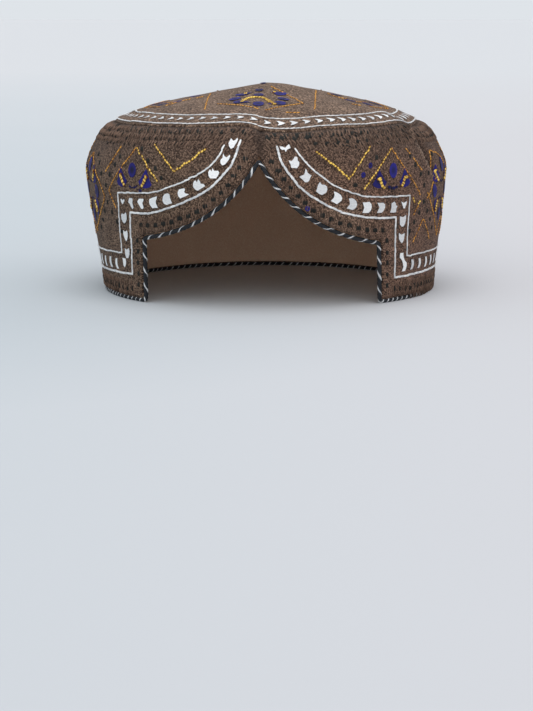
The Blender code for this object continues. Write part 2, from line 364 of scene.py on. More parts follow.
def move_vertices(mesh, places):
    """Puts the mesh's vertices at new places."""
    mesh.vertices.foreach_set("co", places.astype(np.float32).ravel())
    mesh.update()


# %% [markdown]
# The band's cloth is one grid, cut out for the opening and then wrapped. Below the square step the
# rows lie level; above it they rise with the two lobes, so that the last row of cells follows the
# arch's edge exactly. The hem rolls in a little towards the cord that is sewn along it.

# %% The band's grid
BAND_COLUMNS = 560
OPENING_COLUMNS = 140
LOWER_ROWS = 12
UPPER_ROWS = 30
ROLL = 2.4               # the cloth rolls inwards over this much above the cord


def step_height(along):
    """Height of the opening's square step, carried on round the wall as a level row."""
    fade = np.sin(np.maximum(np.abs(along), OPENING_HALF) / HALF_GIRTH * math.pi)
    fade = fade / math.sin(OPENING_HALF / HALF_GIRTH * math.pi)
    return STEP_HEIGHT - STEP_TILT * np.tanh(along / TILT_START) * fade


def opening_height(along):
    """Height of the opening's edge above the hem, between its two upright edges."""
    rest = math.exp(-OPENING_HALF / LOBE_FALL)
    fall = (np.exp(-np.abs(along) / LOBE_FALL) - rest) / (1 - rest)
    base = step_height(along)
    return base + (PEAK_HEIGHT - base) * fall


def column_along(column):
    """Pattern place of each grid column: the opening takes the middle ones."""
    beside = (BAND_COLUMNS - OPENING_COLUMNS) / 2
    marks = (0, beside, beside + OPENING_COLUMNS, BAND_COLUMNS)
    return np.interp(column, marks, (-HALF_GIRTH, -OPENING_HALF, OPENING_HALF, HALF_GIRTH))


def row_up(row, along):
    """Height of each grid row, from the middle of the hem's cord to the crown."""
    inside = np.abs(along) < OPENING_HALF - 0.01
    edge = opening_height(along)
    base = np.where(inside, edge, step_height(along))
    low = CORD_RADIUS + (base - CORD_RADIUS) * row / LOWER_ROWS
    high = base + (SEAM_HEIGHT - base) * (row - LOWER_ROWS) / UPPER_ROWS
    return np.where(row <= LOWER_ROWS, low, high)


def make_band_grid():
    """Flat grid with the opening's cells taken out, in columns and rows."""
    rows = LOWER_ROWS + UPPER_ROWS
    bm = bmesh.new()
    bmesh.ops.create_grid(bm, x_segments=BAND_COLUMNS, y_segments=rows, size=1.0)
    stretch = Matrix.Diagonal((BAND_COLUMNS / 2, rows / 2, 1.0, 1.0))
    bmesh.ops.transform(bm, matrix=stretch @ Matrix.Translation((1, 1, 0)), verts=bm.verts)
    first = (BAND_COLUMNS - OPENING_COLUMNS) // 2
    opened = []
    for face in bm.faces:
        middle = face.calc_center_median()
        if middle.y < LOWER_ROWS and first < middle.x < first + OPENING_COLUMNS:
            opened.append(face)
    bmesh.ops.delete(bm, geom=opened, context="FACES")
    mesh = bpy.data.meshes.new("band_grid")
    bm.to_mesh(mesh)
    bm.free()
    return mesh


def band_pattern(mesh):
    """Turns the grid's columns and rows into pattern places, in mm."""
    grid = coordinates(mesh)
    along = column_along(np.round(grid[:, 0]))
    return np.stack((along, row_up(np.round(grid[:, 1]), along), np.zeros(len(along))), axis=1)


def edge_roll(along, up):
    """How far the cloth rolls inwards above the edge cord, in mm."""
    inside = np.abs(along) < OPENING_HALF
    above = np.where(inside, up - opening_height(along) + CORD_RADIUS, up - CORD_RADIUS)
    return 1.1 * (1 - smooth_step(above / ROLL)) ** 1.5


def close_round(mesh):
    """Welds the grid's two ends at the middle of the back."""
    bm = bmesh.new()
    bm.from_mesh(mesh)
    bmesh.ops.remove_doubles(bm, verts=bm.verts, dist=0.02 * MM)
    seams = [edge for edge in bm.edges if edge.is_boundary and 10 * MM < edge.verts[0].co.z < 80 * MM
             and edge.verts[0].co.y > 0]
    print("Open edges left at the back:", len(seams))
    bm.to_mesh(mesh)
    bm.free()


band_mesh = make_band_grid()
band_places = band_pattern(band_mesh)
give_pattern_map(band_mesh, band_places)
# Painted light and shade, kept per vertex for the band's finish.
painted_shading = band_mesh.attributes.new("painted_shading", "FLOAT", "POINT")
painted_shading.data.foreach_set("value", band_painted_shading(band_places[:, 0], band_places[:, 1]).astype(np.float32))
roll = edge_roll(band_places[:, 0], band_places[:, 1])
move_vertices(band_mesh, on_band(band_places[:, 0], band_places[:, 1], -roll))
close_round(band_mesh)
print("Band cloth:", len(band_mesh.polygons), "cells")

# %% [markdown]
# The crown is a round cloth: a profile of short steps, spun once round, then laid on the dome. Its
# rim turns down over the band, which is what makes the fine shadow under the white outer line.

# %% The crown's disc
CROWN_RINGS = 74
CROWN_SPOKES = 420
MIDDLE_RADIUS = 0.6      # the small face that closes the middle
RIM_OVERHANG = 0.4
RIM_TURN = 0.9           # how far the rim turns down over the band
RIM_START = 1.0          # where it begins to turn, in from the crown's edge


def make_crown_disc():
    """A flat disc of rings and spokes with a closed middle, in mm seen from above."""
    bm = bmesh.new()
    reach = CROWN_EDGE + RIM_OVERHANG - MIDDLE_RADIUS
    profile = [bm.verts.new((0.0, -MIDDLE_RADIUS - reach * ring / CROWN_RINGS, 0.0))
               for ring in range(CROWN_RINGS + 1)]
    edges = [bm.edges.new(pair) for pair in zip(profile, profile[1:])]
    bmesh.ops.spin(bm, geom=profile + edges, cent=(0, 0, 0), axis=(0, 0, 1), angle=2 * math.pi,
                   steps=CROWN_SPOKES, use_merge=True, use_duplicate=False)
    bmesh.ops.remove_doubles(bm, verts=bm.verts, dist=0.004)
    hole = [edge for edge in bm.edges if edge.is_boundary and edge.verts[0].co.length < 1.0]
    bmesh.ops.contextual_create(bm, geom=hole)
    bmesh.ops.recalc_face_normals(bm, faces=bm.faces)
    if sum(face.normal.z for face in bm.faces) < 0:
        bmesh.ops.reverse_faces(bm, faces=bm.faces)
    mesh = bpy.data.meshes.new("crown_disc")
    bm.to_mesh(mesh)
    bm.free()
    return mesh


crown_mesh = make_crown_disc()
crown_places = coordinates(crown_mesh)
crown_places[:, 1] *= OVAL
give_pattern_map(crown_mesh, crown_places)
rim_radius = np.hypot(crown_places[:, 0], crown_places[:, 1] / OVAL)
past_start = rim_radius - (CROWN_EDGE - RIM_START)
turn_down = RIM_TURN * smooth_step(past_start / (RIM_START + RIM_OVERHANG))
move_vertices(crown_mesh, on_crown(crown_places[:, 0], crown_places[:, 1], -turn_down))
print("Crown cloth:", len(crown_mesh.polygons), "cells")


# %% [markdown]
# A material is a small graph of nodes. These helpers keep the graphs short to write: one adds a
# node with its settings, one joins sockets, and one makes an arithmetic node from two values that
# may be numbers or sockets.

# %% Helpers for node graphs
def srgb(red, green, blue):
    """A screen colour from 0 to 255 as the linear colour that the renderer works in."""
    parts = []
    for part in (red, green, blue):
        part /= 255.0
        parts.append(part / 12.92 if part <= 0.04045 else ((part + 0.055) / 1.055) ** 2.4)
    return (*parts, 1.0)


def add_node(tree, kind, inputs=None, **settings):
    """Adds a node, sets its options, and fills or links its inputs."""
    node = tree.nodes.new(kind)
    for key, value in settings.items():
        setattr(node, key, value)
    for key, value in (inputs or {}).items():
        if isinstance(value, bpy.types.NodeSocket):
            tree.links.new(value, node.inputs[key])
        else:
            node.inputs[key].default_value = value
    return node


def calculate(tree, operation, first, second=0.0, clamp=False):
    """One arithmetic step between two numbers or sockets."""
    node = add_node(tree, "ShaderNodeMath", {0: first, 1: second},
                    operation=operation, use_clamp=clamp)
    return node.outputs[0]


def blend_colour(tree, factor, low, high):
    """Mixes two colours by a factor."""
    node = add_node(tree, "ShaderNodeMix", data_type="RGBA")
    for key, value in ((0, factor), (6, low), (7, high)):
        if isinstance(value, bpy.types.NodeSocket):
            tree.links.new(value, node.inputs[key])
        else:
            node.inputs[key].default_value = value
    return node.outputs[2]


def spread(tree, value, low, high, new_low=0.0, new_high=1.0):
    """Stretches a range of values onto another, held at its ends."""
    node = add_node(tree, "ShaderNodeMapRange", {0: value, 1: low, 2: high, 3: new_low, 4: new_high})
    return node.outputs[0]


def new_group(name, inputs, outputs):
    """A node group with named sockets; returns its tree, its input node and its output node."""
    tree = bpy.data.node_groups.new(name, "ShaderNodeTree")
    for label, (kind, default) in inputs.items():
        socket = tree.interface.new_socket(name=label, in_out="INPUT", socket_type=kind)
        if default is not None:
            socket.default_value = default
    for label, kind in outputs.items():
        tree.interface.new_socket(name=label, in_out="OUTPUT", socket_type=kind)
    return tree, tree.nodes.new("NodeGroupInput"), tree.nodes.new("NodeGroupOutput")


def new_material(name):
    """A material with its node tree and its Principled shader."""
    material = bpy.data.materials.new(name)
    material.use_nodes = True
    tree = material.node_tree
    return material, tree, tree.nodes["Principled BSDF"]


# %% [markdown]
# The brown cloth is covered with short stitches in thread of nearly its own colour, laid crosswise by
# hand. Seen close, each is a raised fleck, painted from the thread colour at its middle to a dark
# shade colour at its rim, with painted shade in the sunken gaps between; from a step away the cloth
# reads as speckled brown. Two Voronoi textures with long cells, turned against each other, lay the
# flecks; a Noise texture bends them, and slower noises make patches and the holes between, painted
# dark as shade.

# %% Node group: stitched ground
def make_stitched_ground():
    """Colour, roughness and height of cloth covered with small stitches; distances in mm."""
    tree, given, result = new_group("stitched_ground", {
        "Pattern": ("NodeSocketVector", None),
        "Slant": ("NodeSocketFloat", 0.65),
        "Thread": ("NodeSocketColor", srgb(150, 122, 100)),
        "Shade": ("NodeSocketColor", srgb(46, 34, 28)),
    }, {"Colour": "NodeSocketColor", "Roughness": "NodeSocketFloat", "Height": "NodeSocketFloat"})
    place = given.outputs["Pattern"]
    wander = add_node(tree, "ShaderNodeTexNoise", {"Vector": place, "Scale": 0.3, "Detail": 2.0})
    shifted = add_node(tree, "ShaderNodeVectorMath", {0: wander.outputs["Color"],
                                                      1: (0.5, 0.5, 0.5)}, operation="SUBTRACT")
    bent = add_node(tree, "ShaderNodeVectorMath", {0: shifted.outputs[0], 1: (2.6, 2.6, 0.0),
                                                   2: place}, operation="MULTIPLY_ADD")
    layers = []
    for way in (1.0, -1.0):
        slant = calculate(tree, "MULTIPLY", given.outputs["Slant"], way)
        turn = add_node(tree, "ShaderNodeVectorRotate", {"Vector": bent.outputs[0],
                                                         "Angle": slant}, rotation_type="Z_AXIS")
        long_cells = add_node(tree, "ShaderNodeMapping", {"Vector": turn.outputs[0],
                                                          "Scale": (0.9, 1.8, 1.0),
                                                          "Location": (way * 7.3, 3.1, 0.0)})
        cells = add_node(tree, "ShaderNodeTexVoronoi", {"Vector": long_cells.outputs[0],
                                                        "Scale": 1.0, "Randomness": 0.85},
                         voronoi_dimensions="2D", feature="F1")
        parts = add_node(tree, "ShaderNodeSeparateColor", {0: cells.outputs["Color"]})
        # Painted shade: each fleck fades from the thread colour at its middle to the shade colour at
        # its rim.
        raised_part = spread(tree, cells.outputs["Distance"], 0.12, 0.62, 1.0, 0.0)
        bright = spread(tree, parts.outputs[0], 0.0, 1.0, 0.05, 1.0)
        layers.append((raised_part, calculate(tree, "MULTIPLY", raised_part, bright)))
    height = calculate(tree, "MAXIMUM", layers[0][0], layers[1][0])
    flecks = calculate(tree, "MAXIMUM", layers[0][1], layers[1][1])
    fibres = add_node(tree, "ShaderNodeTexNoise", {"Vector": place, "Scale": 4.0, "Detail": 2.0})
    patches = add_node(tree, "ShaderNodeTexNoise", {"Vector": place, "Scale": 0.12, "Detail": 2.0})
    holes = add_node(tree, "ShaderNodeTexNoise", {"Vector": place, "Scale": 1.0, "Detail": 1.5})
    tone = calculate(tree, "MULTIPLY", flecks, 0.95)
    tone = calculate(tree, "ADD", tone, spread(tree, fibres.outputs["Fac"], 0.3, 0.7, -0.2, 0.2))
    tone = calculate(tree, "ADD", tone, spread(tree, patches.outputs["Fac"], 0.3, 0.7, -0.1, 0.12))
    # Painted shade in the holes between the stitches.
    hole = spread(tree, holes.outputs["Fac"], 0.38, 0.50, 0.15, 1.0)
    tone = calculate(tree, "MULTIPLY", tone, hole, clamp=True)
    colour = blend_colour(tree, tone, given.outputs["Shade"], given.outputs["Thread"])
    deep = calculate(tree, "MULTIPLY", height, hole)
    tree.links.new(colour, result.inputs["Colour"])
    tree.links.new(spread(tree, fibres.outputs["Fac"], 0.3, 0.7, 0.8, 0.95),
                   result.inputs["Roughness"])
    tree.links.new(deep, result.inputs["Height"])
    return tree


stitched_ground = make_stitched_ground()


# %% [markdown]
# The same ground serves three cloths. The band is the brownest, darker towards its shoulder, lighter
# and redder towards the right side, lighter on the right margin beside the opening, with a painted
# highlight along the fold's ridge and painted shade beyond the fold and in the front seam. The
# crown's stitches lie closer and paler. The lining is a plain cotton, so its two colours are near.

# %% Materials of the cloth
# Lighter, redder thread that the band takes on towards its right side.
RIGHT_SIDE_THREAD = srgb(184, 142, 119)
# Lighter thread for the painted highlight on the fold's ridge and for the lighter right margin.
LIGHTENED_THREAD = srgb(216, 182, 155)


def cloth_material(name, thread, shade, slant, depth, high_thread=None, fineness=(1.0, 1.0)):
    """Brown cloth covered with small stitches, read from the piece's pattern map.

    high_thread: the darker thread that takes over towards the top of the band, where the lighter,
    redder right side and the attribute of painted light and shade count too; fineness: how close the
    stitches lie, across and up.
    """
    material, tree, shader = new_material(name)
    pattern = add_node(tree, "ShaderNodeUVMap", uv_map="pattern")
    ground = add_node(tree, "ShaderNodeGroup", node_tree=stitched_ground)
    close = add_node(tree, "ShaderNodeMapping", {"Vector": pattern.outputs[0],
                                                 "Scale": (*fineness, 1.0)})
    tree.links.new(close.outputs[0], ground.inputs["Pattern"])
    ground.inputs["Slant"].default_value = slant
    ground.inputs["Thread"].default_value = thread
    if high_thread:
        along, height = add_node(tree, "ShaderNodeSeparateXYZ", {0: pattern.outputs[0]}).outputs[:2]
        # Lighter and redder towards the right side.
        right_tinted = blend_colour(tree, spread(tree, along, -40.0, 60.0), thread, RIGHT_SIDE_THREAD)
        change = blend_colour(tree, spread(tree, height, 58.0, 80.0), right_tinted, high_thread)
        # Painted light and shade: lighter thread along the fold's ridge and on the right margin, the
        # shade colour beyond the fold and in the front seam.
        painted_shading = add_node(tree, "ShaderNodeAttribute", attribute_name="painted_shading").outputs["Fac"]
        change = blend_colour(tree, spread(tree, painted_shading, 0.0, 1.0), change, LIGHTENED_THREAD)
        change = blend_colour(tree, spread(tree, painted_shading, 0.0, -1.0), change, shade)
        tree.links.new(change, ground.inputs["Thread"])
    ground.inputs["Shade"].default_value = shade
    bump = add_node(tree, "ShaderNodeBump", {"Height": ground.outputs["Height"],
                                             "Strength": 0.8, "Distance": depth * MM})
    tree.links.new(ground.outputs["Colour"], shader.inputs["Base Color"])
    tree.links.new(ground.outputs["Roughness"], shader.inputs["Roughness"])
    tree.links.new(bump.outputs[0], shader.inputs["Normal"])
    shader.inputs["Sheen Weight"].default_value = 0.04
    shader.inputs["Sheen Roughness"].default_value = 0.5
    shader.inputs["Specular IOR Level"].default_value = 0.2
    return material


band_finish = cloth_material("band_cloth", srgb(172, 141, 117), srgb(42, 30, 24), 0.65, 0.4,
                             high_thread=srgb(146, 118, 101))
crown_finish = cloth_material("crown_cloth", srgb(184, 154, 131), srgb(66, 50, 41), 0.25, 0.35,
                              fineness=(0.8, 0.6))
lining_finish = cloth_material("cotton_lining", srgb(250, 226, 204), srgb(232, 200, 174), 0.8, 0.1)


# %% [markdown]
# Both cloths are real walls: a Solidify modifier thickens them inwards, and its second material
# slot shows the lining on the inner side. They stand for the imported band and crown.

# %% The two cloths
def give_wall(piece, thickness):
    """Gives the cloth its thickness inwards, with the lining on the inner side."""
    piece.data.materials.append(lining_finish)
    wall = piece.modifiers.new("wall", "SOLIDIFY")
    wall.thickness = thickness * MM
    wall.offset = -1.0
    wall.use_even_offset = True
    wall.material_offset = 1
    wall.material_offset_rim = 0


band_cloth = finish_piece("band_cloth", band_mesh, band_finish, "side_band")
crown_cloth = finish_piece("crown_cloth", crown_mesh, crown_finish, "crown")
give_wall(band_cloth, BAND_WALL)
give_wall(crown_cloth, CROWN_WALL)


# %% [markdown]
# All the embroidery is made of a few small stitches, each modelled once, flat, in millimetres, and
# then repeated. A stitch is a tube: one circle extruded from station to station along its thread.
# The copies are joined into one mesh, turned and stretched to their places in the pattern, and laid
# on the cap in a single step, which is quick even for thousands of them.

# %% A tube along a few stations
def sweep(bm, stations, sides, closed):
    """One circle extruded along stations of (place, half width, half height)."""
    frames = []
    count = len(stations)
    for i, (place, half_width, half_height) in enumerate(stations):
        ahead = stations[(i + 1) % count if closed else min(i + 1, count - 1)][0]
        behind = stations[i - 1 if closed else max(i - 1, 0)][0]
        forward = (Vector(ahead) - Vector(behind)).normalized()
        side = Vector((0.0, 0.0, 1.0)).cross(forward).normalized()
        turned = Matrix((side, forward.cross(side), forward)).transposed().to_4x4()
        size = Matrix.Diagonal((half_width, half_height, 1.0, 1.0))
        frames.append(Matrix.Translation(place) @ turned @ size)
    ring = bmesh.ops.create_circle(bm, segments=sides, radius=1.0, cap_ends=not closed,
                                   matrix=frames[0])
    loop = list({edge for vert in ring["verts"] for edge in vert.link_edges})
    for here, there in zip(frames, frames[1:] + (frames[:1] if closed else [])):
        grown = bmesh.ops.extrude_edge_only(bm, edges=loop)["geom"]
        moved = [part for part in grown if isinstance(part, bmesh.types.BMVert)]
        loop = [part for part in grown if isinstance(part, bmesh.types.BMEdge)
                and set(part.verts) <= set(moved)]
        bmesh.ops.transform(bm, matrix=there @ here.inverted(), verts=moved)
    if closed:
        bmesh.ops.remove_doubles(bm, verts=bm.verts, dist=0.001)
    else:
        bmesh.ops.contextual_create(bm, geom=loop)


def stitch_mesh(name, bm, scale=1.0):
    """Closes a stitch: normals out, and its flat drawing kept as the UV map of its threads."""
    bmesh.ops.recalc_face_normals(bm, faces=bm.faces)
    threads = bm.loops.layers.uv.new("pattern")
    for face in bm.faces:
        for corner in face.loops:
            corner[threads].uv = corner.vert.co.xy * scale
    mesh = bpy.data.meshes.new(name)
    bm.to_mesh(mesh)
    bm.free()
    return mesh


# %% The chain stitch and the straight stitch
def chain_link(length, width, thread):
    """One loop of chain stitch: narrow where it leaves the last loop, round at its far end."""
    stations = []
    for step in range(8):
        turn = 2 * math.pi * (step + 0.5) / 8
        x = -length / 2 * math.cos(turn)
        y = (width - thread) / 2 * math.sin(turn) * (0.45 + 0.55 * math.sin(turn / 2) ** 2)
        z = thread * (0.3 + 0.3 * math.sin(turn / 2) ** 2)
        stations.append(((x, y, z), thread / 2, thread / 2))
    bm = bmesh.new()
    sweep(bm, stations, 5, closed=True)
    return stitch_mesh("chain_link", bm)


def straight_stitch(length, width, rise):
    """One straight stitch: it comes up out of the cloth, swells and goes down again."""
    stations = []
    for t, fullness in ((-0.5, 0.35), (-0.34, 0.85), (0.0, 1.0), (0.34, 0.85), (0.5, 0.35)):
        place = (t * length, 0.0, rise * (1 - (2 * t) ** 4) - 0.25 * width)
        stations.append((place, width / 2 * fullness, width / 2.4 * fullness))
    bm = bmesh.new()
    sweep(bm, stations, 5, closed=False)
    return stitch_mesh("straight_stitch", bm, 1.6 / length)


def padded_shape(outline, rise, shoulder):
    """A satin-stitched shape: its outline filled, raised and rounded at the rim."""
    bm = bmesh.new()
    corners = [bm.verts.new((x, y, -0.2)) for x, y in outline]
    face = bm.faces.new(corners)
    face.normal_update()
    if face.normal.z < 0:
        face.normal_flip()
    bm.normal_update()
    bmesh.ops.inset_region(bm, faces=[face], thickness=shoulder * 0.25, depth=0.2 + rise * 0.7,
                           use_even_offset=True)
    bmesh.ops.inset_region(bm, faces=[face], thickness=shoulder, depth=rise * 0.3,
                           use_even_offset=True)
    base = [edge for edge in bm.edges if edge.is_boundary]
    bmesh.ops.contextual_create(bm, geom=base)
    return stitch_mesh("padded_shape", bm)


# %% [markdown]
# repeat() is the needle of this script. Each row of places says where one copy goes: across, up,
# its turn, and how much longer, wider and higher it is than its model. A little seeded unevenness
# keeps the hand in it, and each copy carries one random number that its finish can read.

# %% Repeating a stitch over the cloth
dice = np.random.default_rng(78)


def repeat(shape, places, surface, jitter=0.0):
    """One mesh of all copies of a flat stitch, laid on a surface; distances in mm."""
    places = np.array([(*place, 1.0, 1.0, 1.0)[:6] for place in places], dtype=float)
    count = len(places)
    bm = bmesh.new()
    for _ in range(count):
        bm.from_mesh(shape)
    mesh = bpy.data.meshes.new("stitches")
    bm.to_mesh(mesh)
    bm.free()
    places[:, :2] += dice.normal(0.0, 1.0, (count, 2)) * jitter
    places[:, 2] += dice.normal(0.0, 1.0, count) * jitter * 0.5
    places[:, 3:5] *= 1 + dice.normal(0.0, 1.0, (count, 2)) * jitter * 0.4
    one = coordinates(shape)
    drawn = one[None] * places[:, None, 3:6]
    cos, sin = np.cos(places[:, 2])[:, None], np.sin(places[:, 2])[:, None]
    across = places[:, None, 0] + drawn[:, :, 0] * cos - drawn[:, :, 1] * sin
    up = places[:, None, 1] + drawn[:, :, 0] * sin + drawn[:, :, 1] * cos
    laid = surface(across.ravel(), up.ravel(), drawn[:, :, 2].ravel())
    move_vertices(mesh, laid)
    tone = mesh.attributes.new("tone", "FLOAT", "POINT")
    tone.data.foreach_set("value", np.repeat(dice.random(count), len(one)).astype(np.float32))
    return mesh


def join_meshes(name, meshes):
    """Joins several meshes of stitches into one."""
    bm = bmesh.new()
    for mesh in meshes:
        bm.from_mesh(mesh)
        bpy.data.meshes.remove(mesh)
    joined = bpy.data.meshes.new(name)
    bm.to_mesh(joined)
    bm.free()
    return joined


# %% [markdown]
# Stitched lines follow paths drawn with few points. A path's round stretches are smoothed through
# their points, and a corner stays a corner because the path is cut there. Walking along a path at a
# fixed pitch gives the place and the turn of each stitch.

# %% Paths and walks
UPRIGHT = math.pi / 2    # turn of a stitch that stands upright
PATH_STEP = 0.5
LOOK_AHEAD = 0.3         # how far a stitch looks along its path to find its turn


def smooth_path(points):
    """A smooth line through its points, as dense places."""
    points = np.array(points, dtype=float)
    if len(points) == 2:
        count = max(int(np.hypot(*(points[1] - points[0])) / PATH_STEP), 2)
        return points[0] + (points[1] - points[0]) * np.linspace(0, 1, count)[:, None]
    far = np.concatenate([[0.0], np.cumsum(np.hypot(*np.diff(points, axis=0).T))])
    at = np.linspace(0.0, far[-1], max(int(far[-1] / PATH_STEP), 2))
    return np.stack([smooth_curve(np.stack((far, points[:, k]), axis=1))(at) for k in (0, 1)], 1)


def walk(path, pitch):
    """Places (across, up, turn) at an even pitch along a path."""
    steps = np.hypot(*np.diff(path, axis=0).T)
    far = np.concatenate([[0.0], np.cumsum(steps)])
    count = max(int(round(far[-1] / pitch)), 1)
    at = far[-1] * (np.arange(count) + 0.5) / count

    def place_at(reached):
        return np.interp(reached, far, path[:, 0]), np.interp(reached, far, path[:, 1])

    x, y = place_at(at)
    ahead_x, ahead_y = place_at(at + LOOK_AHEAD)
    behind_x, behind_y = place_at(at - LOOK_AHEAD)
    return np.stack((x, y, np.arctan2(ahead_y - behind_y, ahead_x - behind_x)), axis=1)


# %% [markdown]
# The white border follows the opening: down each lobe, square round its foot, and level along the hem
# to the back. Two lines of white chain stitch hold a row of leaves between them. The lines are given
# for each side, so the left and the right side differ a little, as they do on the real cap.

# %% White border lines on the band
HEM_OUTER = 12.5
HEM_INNER = 22.0
OUTER_LOBE = {
    "left": ((-8.2, 80.4), (-12.4, 70.8), (-17.7, 64.4), (-25.4, 57.6), (-35.7, 52.4),
             (-47.9, 47.8), (-58.8, 45.3), (-72.1, 44.8)),
    "right": ((7.9, 79.3), (10.1, 72.3), (14.8, 65.2), (22.2, 57.4), (29.6, 52.5),
              (38.9, 47.7), (49.8, 44.6), (62.1, 43.2), (73.9, 42.8)),
}
INNER_LOBE = {
    "left": ((-15.6, 78.4), (-19.6, 72.7), (-25.2, 67.7), (-34.1, 63.2), (-44.4, 59.2),
             (-53.6, 56.2), (-64.0, 55.0), (-82.3, 54.2)),
    "right": ((16.3, 78.0), (21.6, 71.4), (29.7, 64.9), (37.7, 59.6), (47.6, 55.9),
              (54.6, 54.1), (69.6, 53.2), (85.4, 52.8)),
}
OUTER_FOOT = {"left": ((-72.1, 44.8), (-72.5, 13.6)), "right": ((73.9, 42.8), (72.9, 12.4))}
INNER_FOOT = {"left": ((-82.3, 54.2), (-82.5, 23.6)), "right": ((85.4, 52.8), (83.6, 22.6))}


def hem_run(side, foot_end, height):
    """The level stretch from a foot's corner to the middle of the back."""
    way = -1 if side == "left" else 1
    return (foot_end, (way * (abs(foot_end[0]) + 60.0), height + 0.4), (way * HALF_GIRTH, height))


def border_lines(lobe, foot, height):
    """Each side's three stretches of one border line."""
    lines = []
    for side in ("left", "right"):
        lines.append(smooth_path(lobe[side]))
        lines.append(smooth_path(foot[side]))
        lines.append(smooth_path(hem_run(side, foot[side][-1], height)))
    return lines


outer_lines = border_lines(OUTER_LOBE, OUTER_FOOT, HEM_OUTER)
inner_lines = border_lines(INNER_LOBE, INNER_FOOT, HEM_INNER)
white_link = chain_link(3.2, 1.35, 0.58)
outer_places = np.concatenate([walk(line, 2.6) for line in outer_lines])
inner_places = np.concatenate([walk(line, 2.5) for line in inner_lines])
slim = np.tile((0.92, 0.72, 0.85), (len(inner_places), 1))
border_places = np.concatenate([np.hstack([outer_places, np.ones((len(outer_places), 3))]),
                                np.hstack([inner_places, slim])])
border_line_mesh = repeat(white_link, border_places, on_band, jitter=0.09)
print("White border stitches:", len(border_places))


# %% [markdown]
# The leaves of the border are solid patches of satin stitch, and no two are alike: next to the top
# of the arch they are small birds and hands with three teeth, further down they become shields, and
# on the foot they are buds. Each visible one is drawn by itself, upright round its own middle. Along
# the hem one bent leaf repeats to the back. A leaf is its outline filled with one face, which is
# inset twice and raised, so it has a rounded rim and a nearly flat top.

# %% Border leaves
LEFT_LEAVES = (          # middle of the leaf in the pattern, then its outline, in mm
    ((-11.7, 79.0), ((-0.8, 2.1), (0.2, 1.0), (1.1, 1.3), (2.1, 2.3), (2.3, 1.7), (1.8, 0.6),
                     (0.9, -0.7), (0.3, -1.7), (-1.0, -2.3), (-1.8, -1.3), (-2.1, 0.0))),
    ((-15.6, 72.2), ((-0.8, 2.7), (-0.2, 1.5), (0.7, 1.0), (2.3, 2.1), (2.5, 1.5), (1.9, 0.2),
                     (0.9, -1.0), (-0.2, -2.2), (-1.5, -2.6), (-2.3, -1.6), (-2.3, -0.2),
                     (-1.2, 0.8))),
    ((-21.4, 65.8), ((-1.8, 1.9), (-0.9, 1.0), (-0.5, 2.6), (0.3, 1.3), (1.2, 1.3), (2.2, 1.4),
                     (2.8, 0.5), (2.0, -1.0), (1.2, -2.1), (-0.6, -2.2), (-1.8, -2.2),
                     (-2.6, -1.0), (-2.7, 0.6))),
    ((-29.1, 60.4), ((-1.5, 2.1), (-0.9, 1.2), (-0.2, 2.8), (0.7, 1.8), (1.0, 0.7), (2.6, 0.6),
                     (3.3, -0.4), (0.9, -1.9), (-0.4, -2.7), (-1.7, -2.3), (-2.9, -1.0),
                     (-3.0, 0.5), (-2.4, 1.8))),
    ((-37.5, 56.1), ((-0.7, 2.2), (0.8, 2.5), (1.2, 1.7), (0.7, 0.9), (1.2, 0.1), (3.4, -0.3),
                     (1.6, -1.3), (0.0, -1.9), (-1.3, -2.5), (-2.5, -1.4), (-2.9, 0.2),
                     (-2.2, 1.8))),
    ((-46.4, 53.2), ((-1.3, 2.2), (0.6, 2.7), (1.6, 2.0), (1.8, 0.7), (2.2, -0.4), (3.1, -2.1),
                     (1.5, -2.5), (0.0, -3.1), (-1.8, -2.5), (-2.6, -1.0), (-2.3, 0.9))),
    ((-54.6, 50.9), ((-1.2, 2.2), (2.3, 3.2), (2.0, 2.0), (1.4, 0.7), (1.6, -0.6), (2.8, -2.5),
                     (0.9, -2.6), (-0.8, -2.9), (-2.1, -1.7), (-3.0, -0.2), (-2.8, 1.4))),
    ((-63.6, 49.9), ((-1.0, 2.3), (2.2, 2.4), (2.2, 1.6), (1.4, 0.3), (2.2, -1.8), (1.8, -2.6),
                     (0.5, -2.6), (-0.5, -1.4), (-1.6, -0.2), (-2.3, 0.8))),
    ((-70.9, 49.6), ((-1.3, 2.5), (1.2, 2.4), (1.4, 1.4), (1.1, 0.2), (2.1, -2.2), (1.0, -2.9),
                     (-0.1, -1.7), (-1.0, -0.4), (-2.2, 0.3), (-1.9, 1.3))),
    ((-78.0, 50.1), ((-1.6, 1.0), (-0.6, 1.1), (0.1, 0.4), (1.3, 1.2), (1.8, 0.4), (0.9, -0.8),
                     (0.0, -1.6), (-1.2, -0.6))),
    ((-77.4, 41.7), ((1.8, 3.1), (0.3, 1.9), (-1.8, 2.2), (-2.5, 1.2), (-2.3, -0.6),
                     (-1.3, -1.9), (0.2, -2.7), (1.7, -1.8), (2.5, -0.1), (2.4, 1.8))),
    ((-76.8, 32.8), ((-1.8, 2.8), (-0.3, 2.0), (1.6, 2.9), (2.2, 1.6), (2.0, -0.2),
                     (1.2, -1.9), (0.1, -2.8), (-1.2, -1.3), (-2.0, 0.8))),
    ((-76.6, 24.0), ((-1.9, 2.4), (-0.2, 1.7), (1.9, 2.8), (2.5, 1.2), (2.2, -0.6), (1.2, -2.4),
                     (-0.9, -2.6), (-1.9, -1.0), (-2.0, 0.8))),
    ((-80.0, 18.9), ((-1.8, 2.3), (1.6, 2.2), (2.0, 0.6), (1.4, -1.2), (0.0, -2.5), (-1.3, -1.4),
                     (-1.4, 0.4))),
)
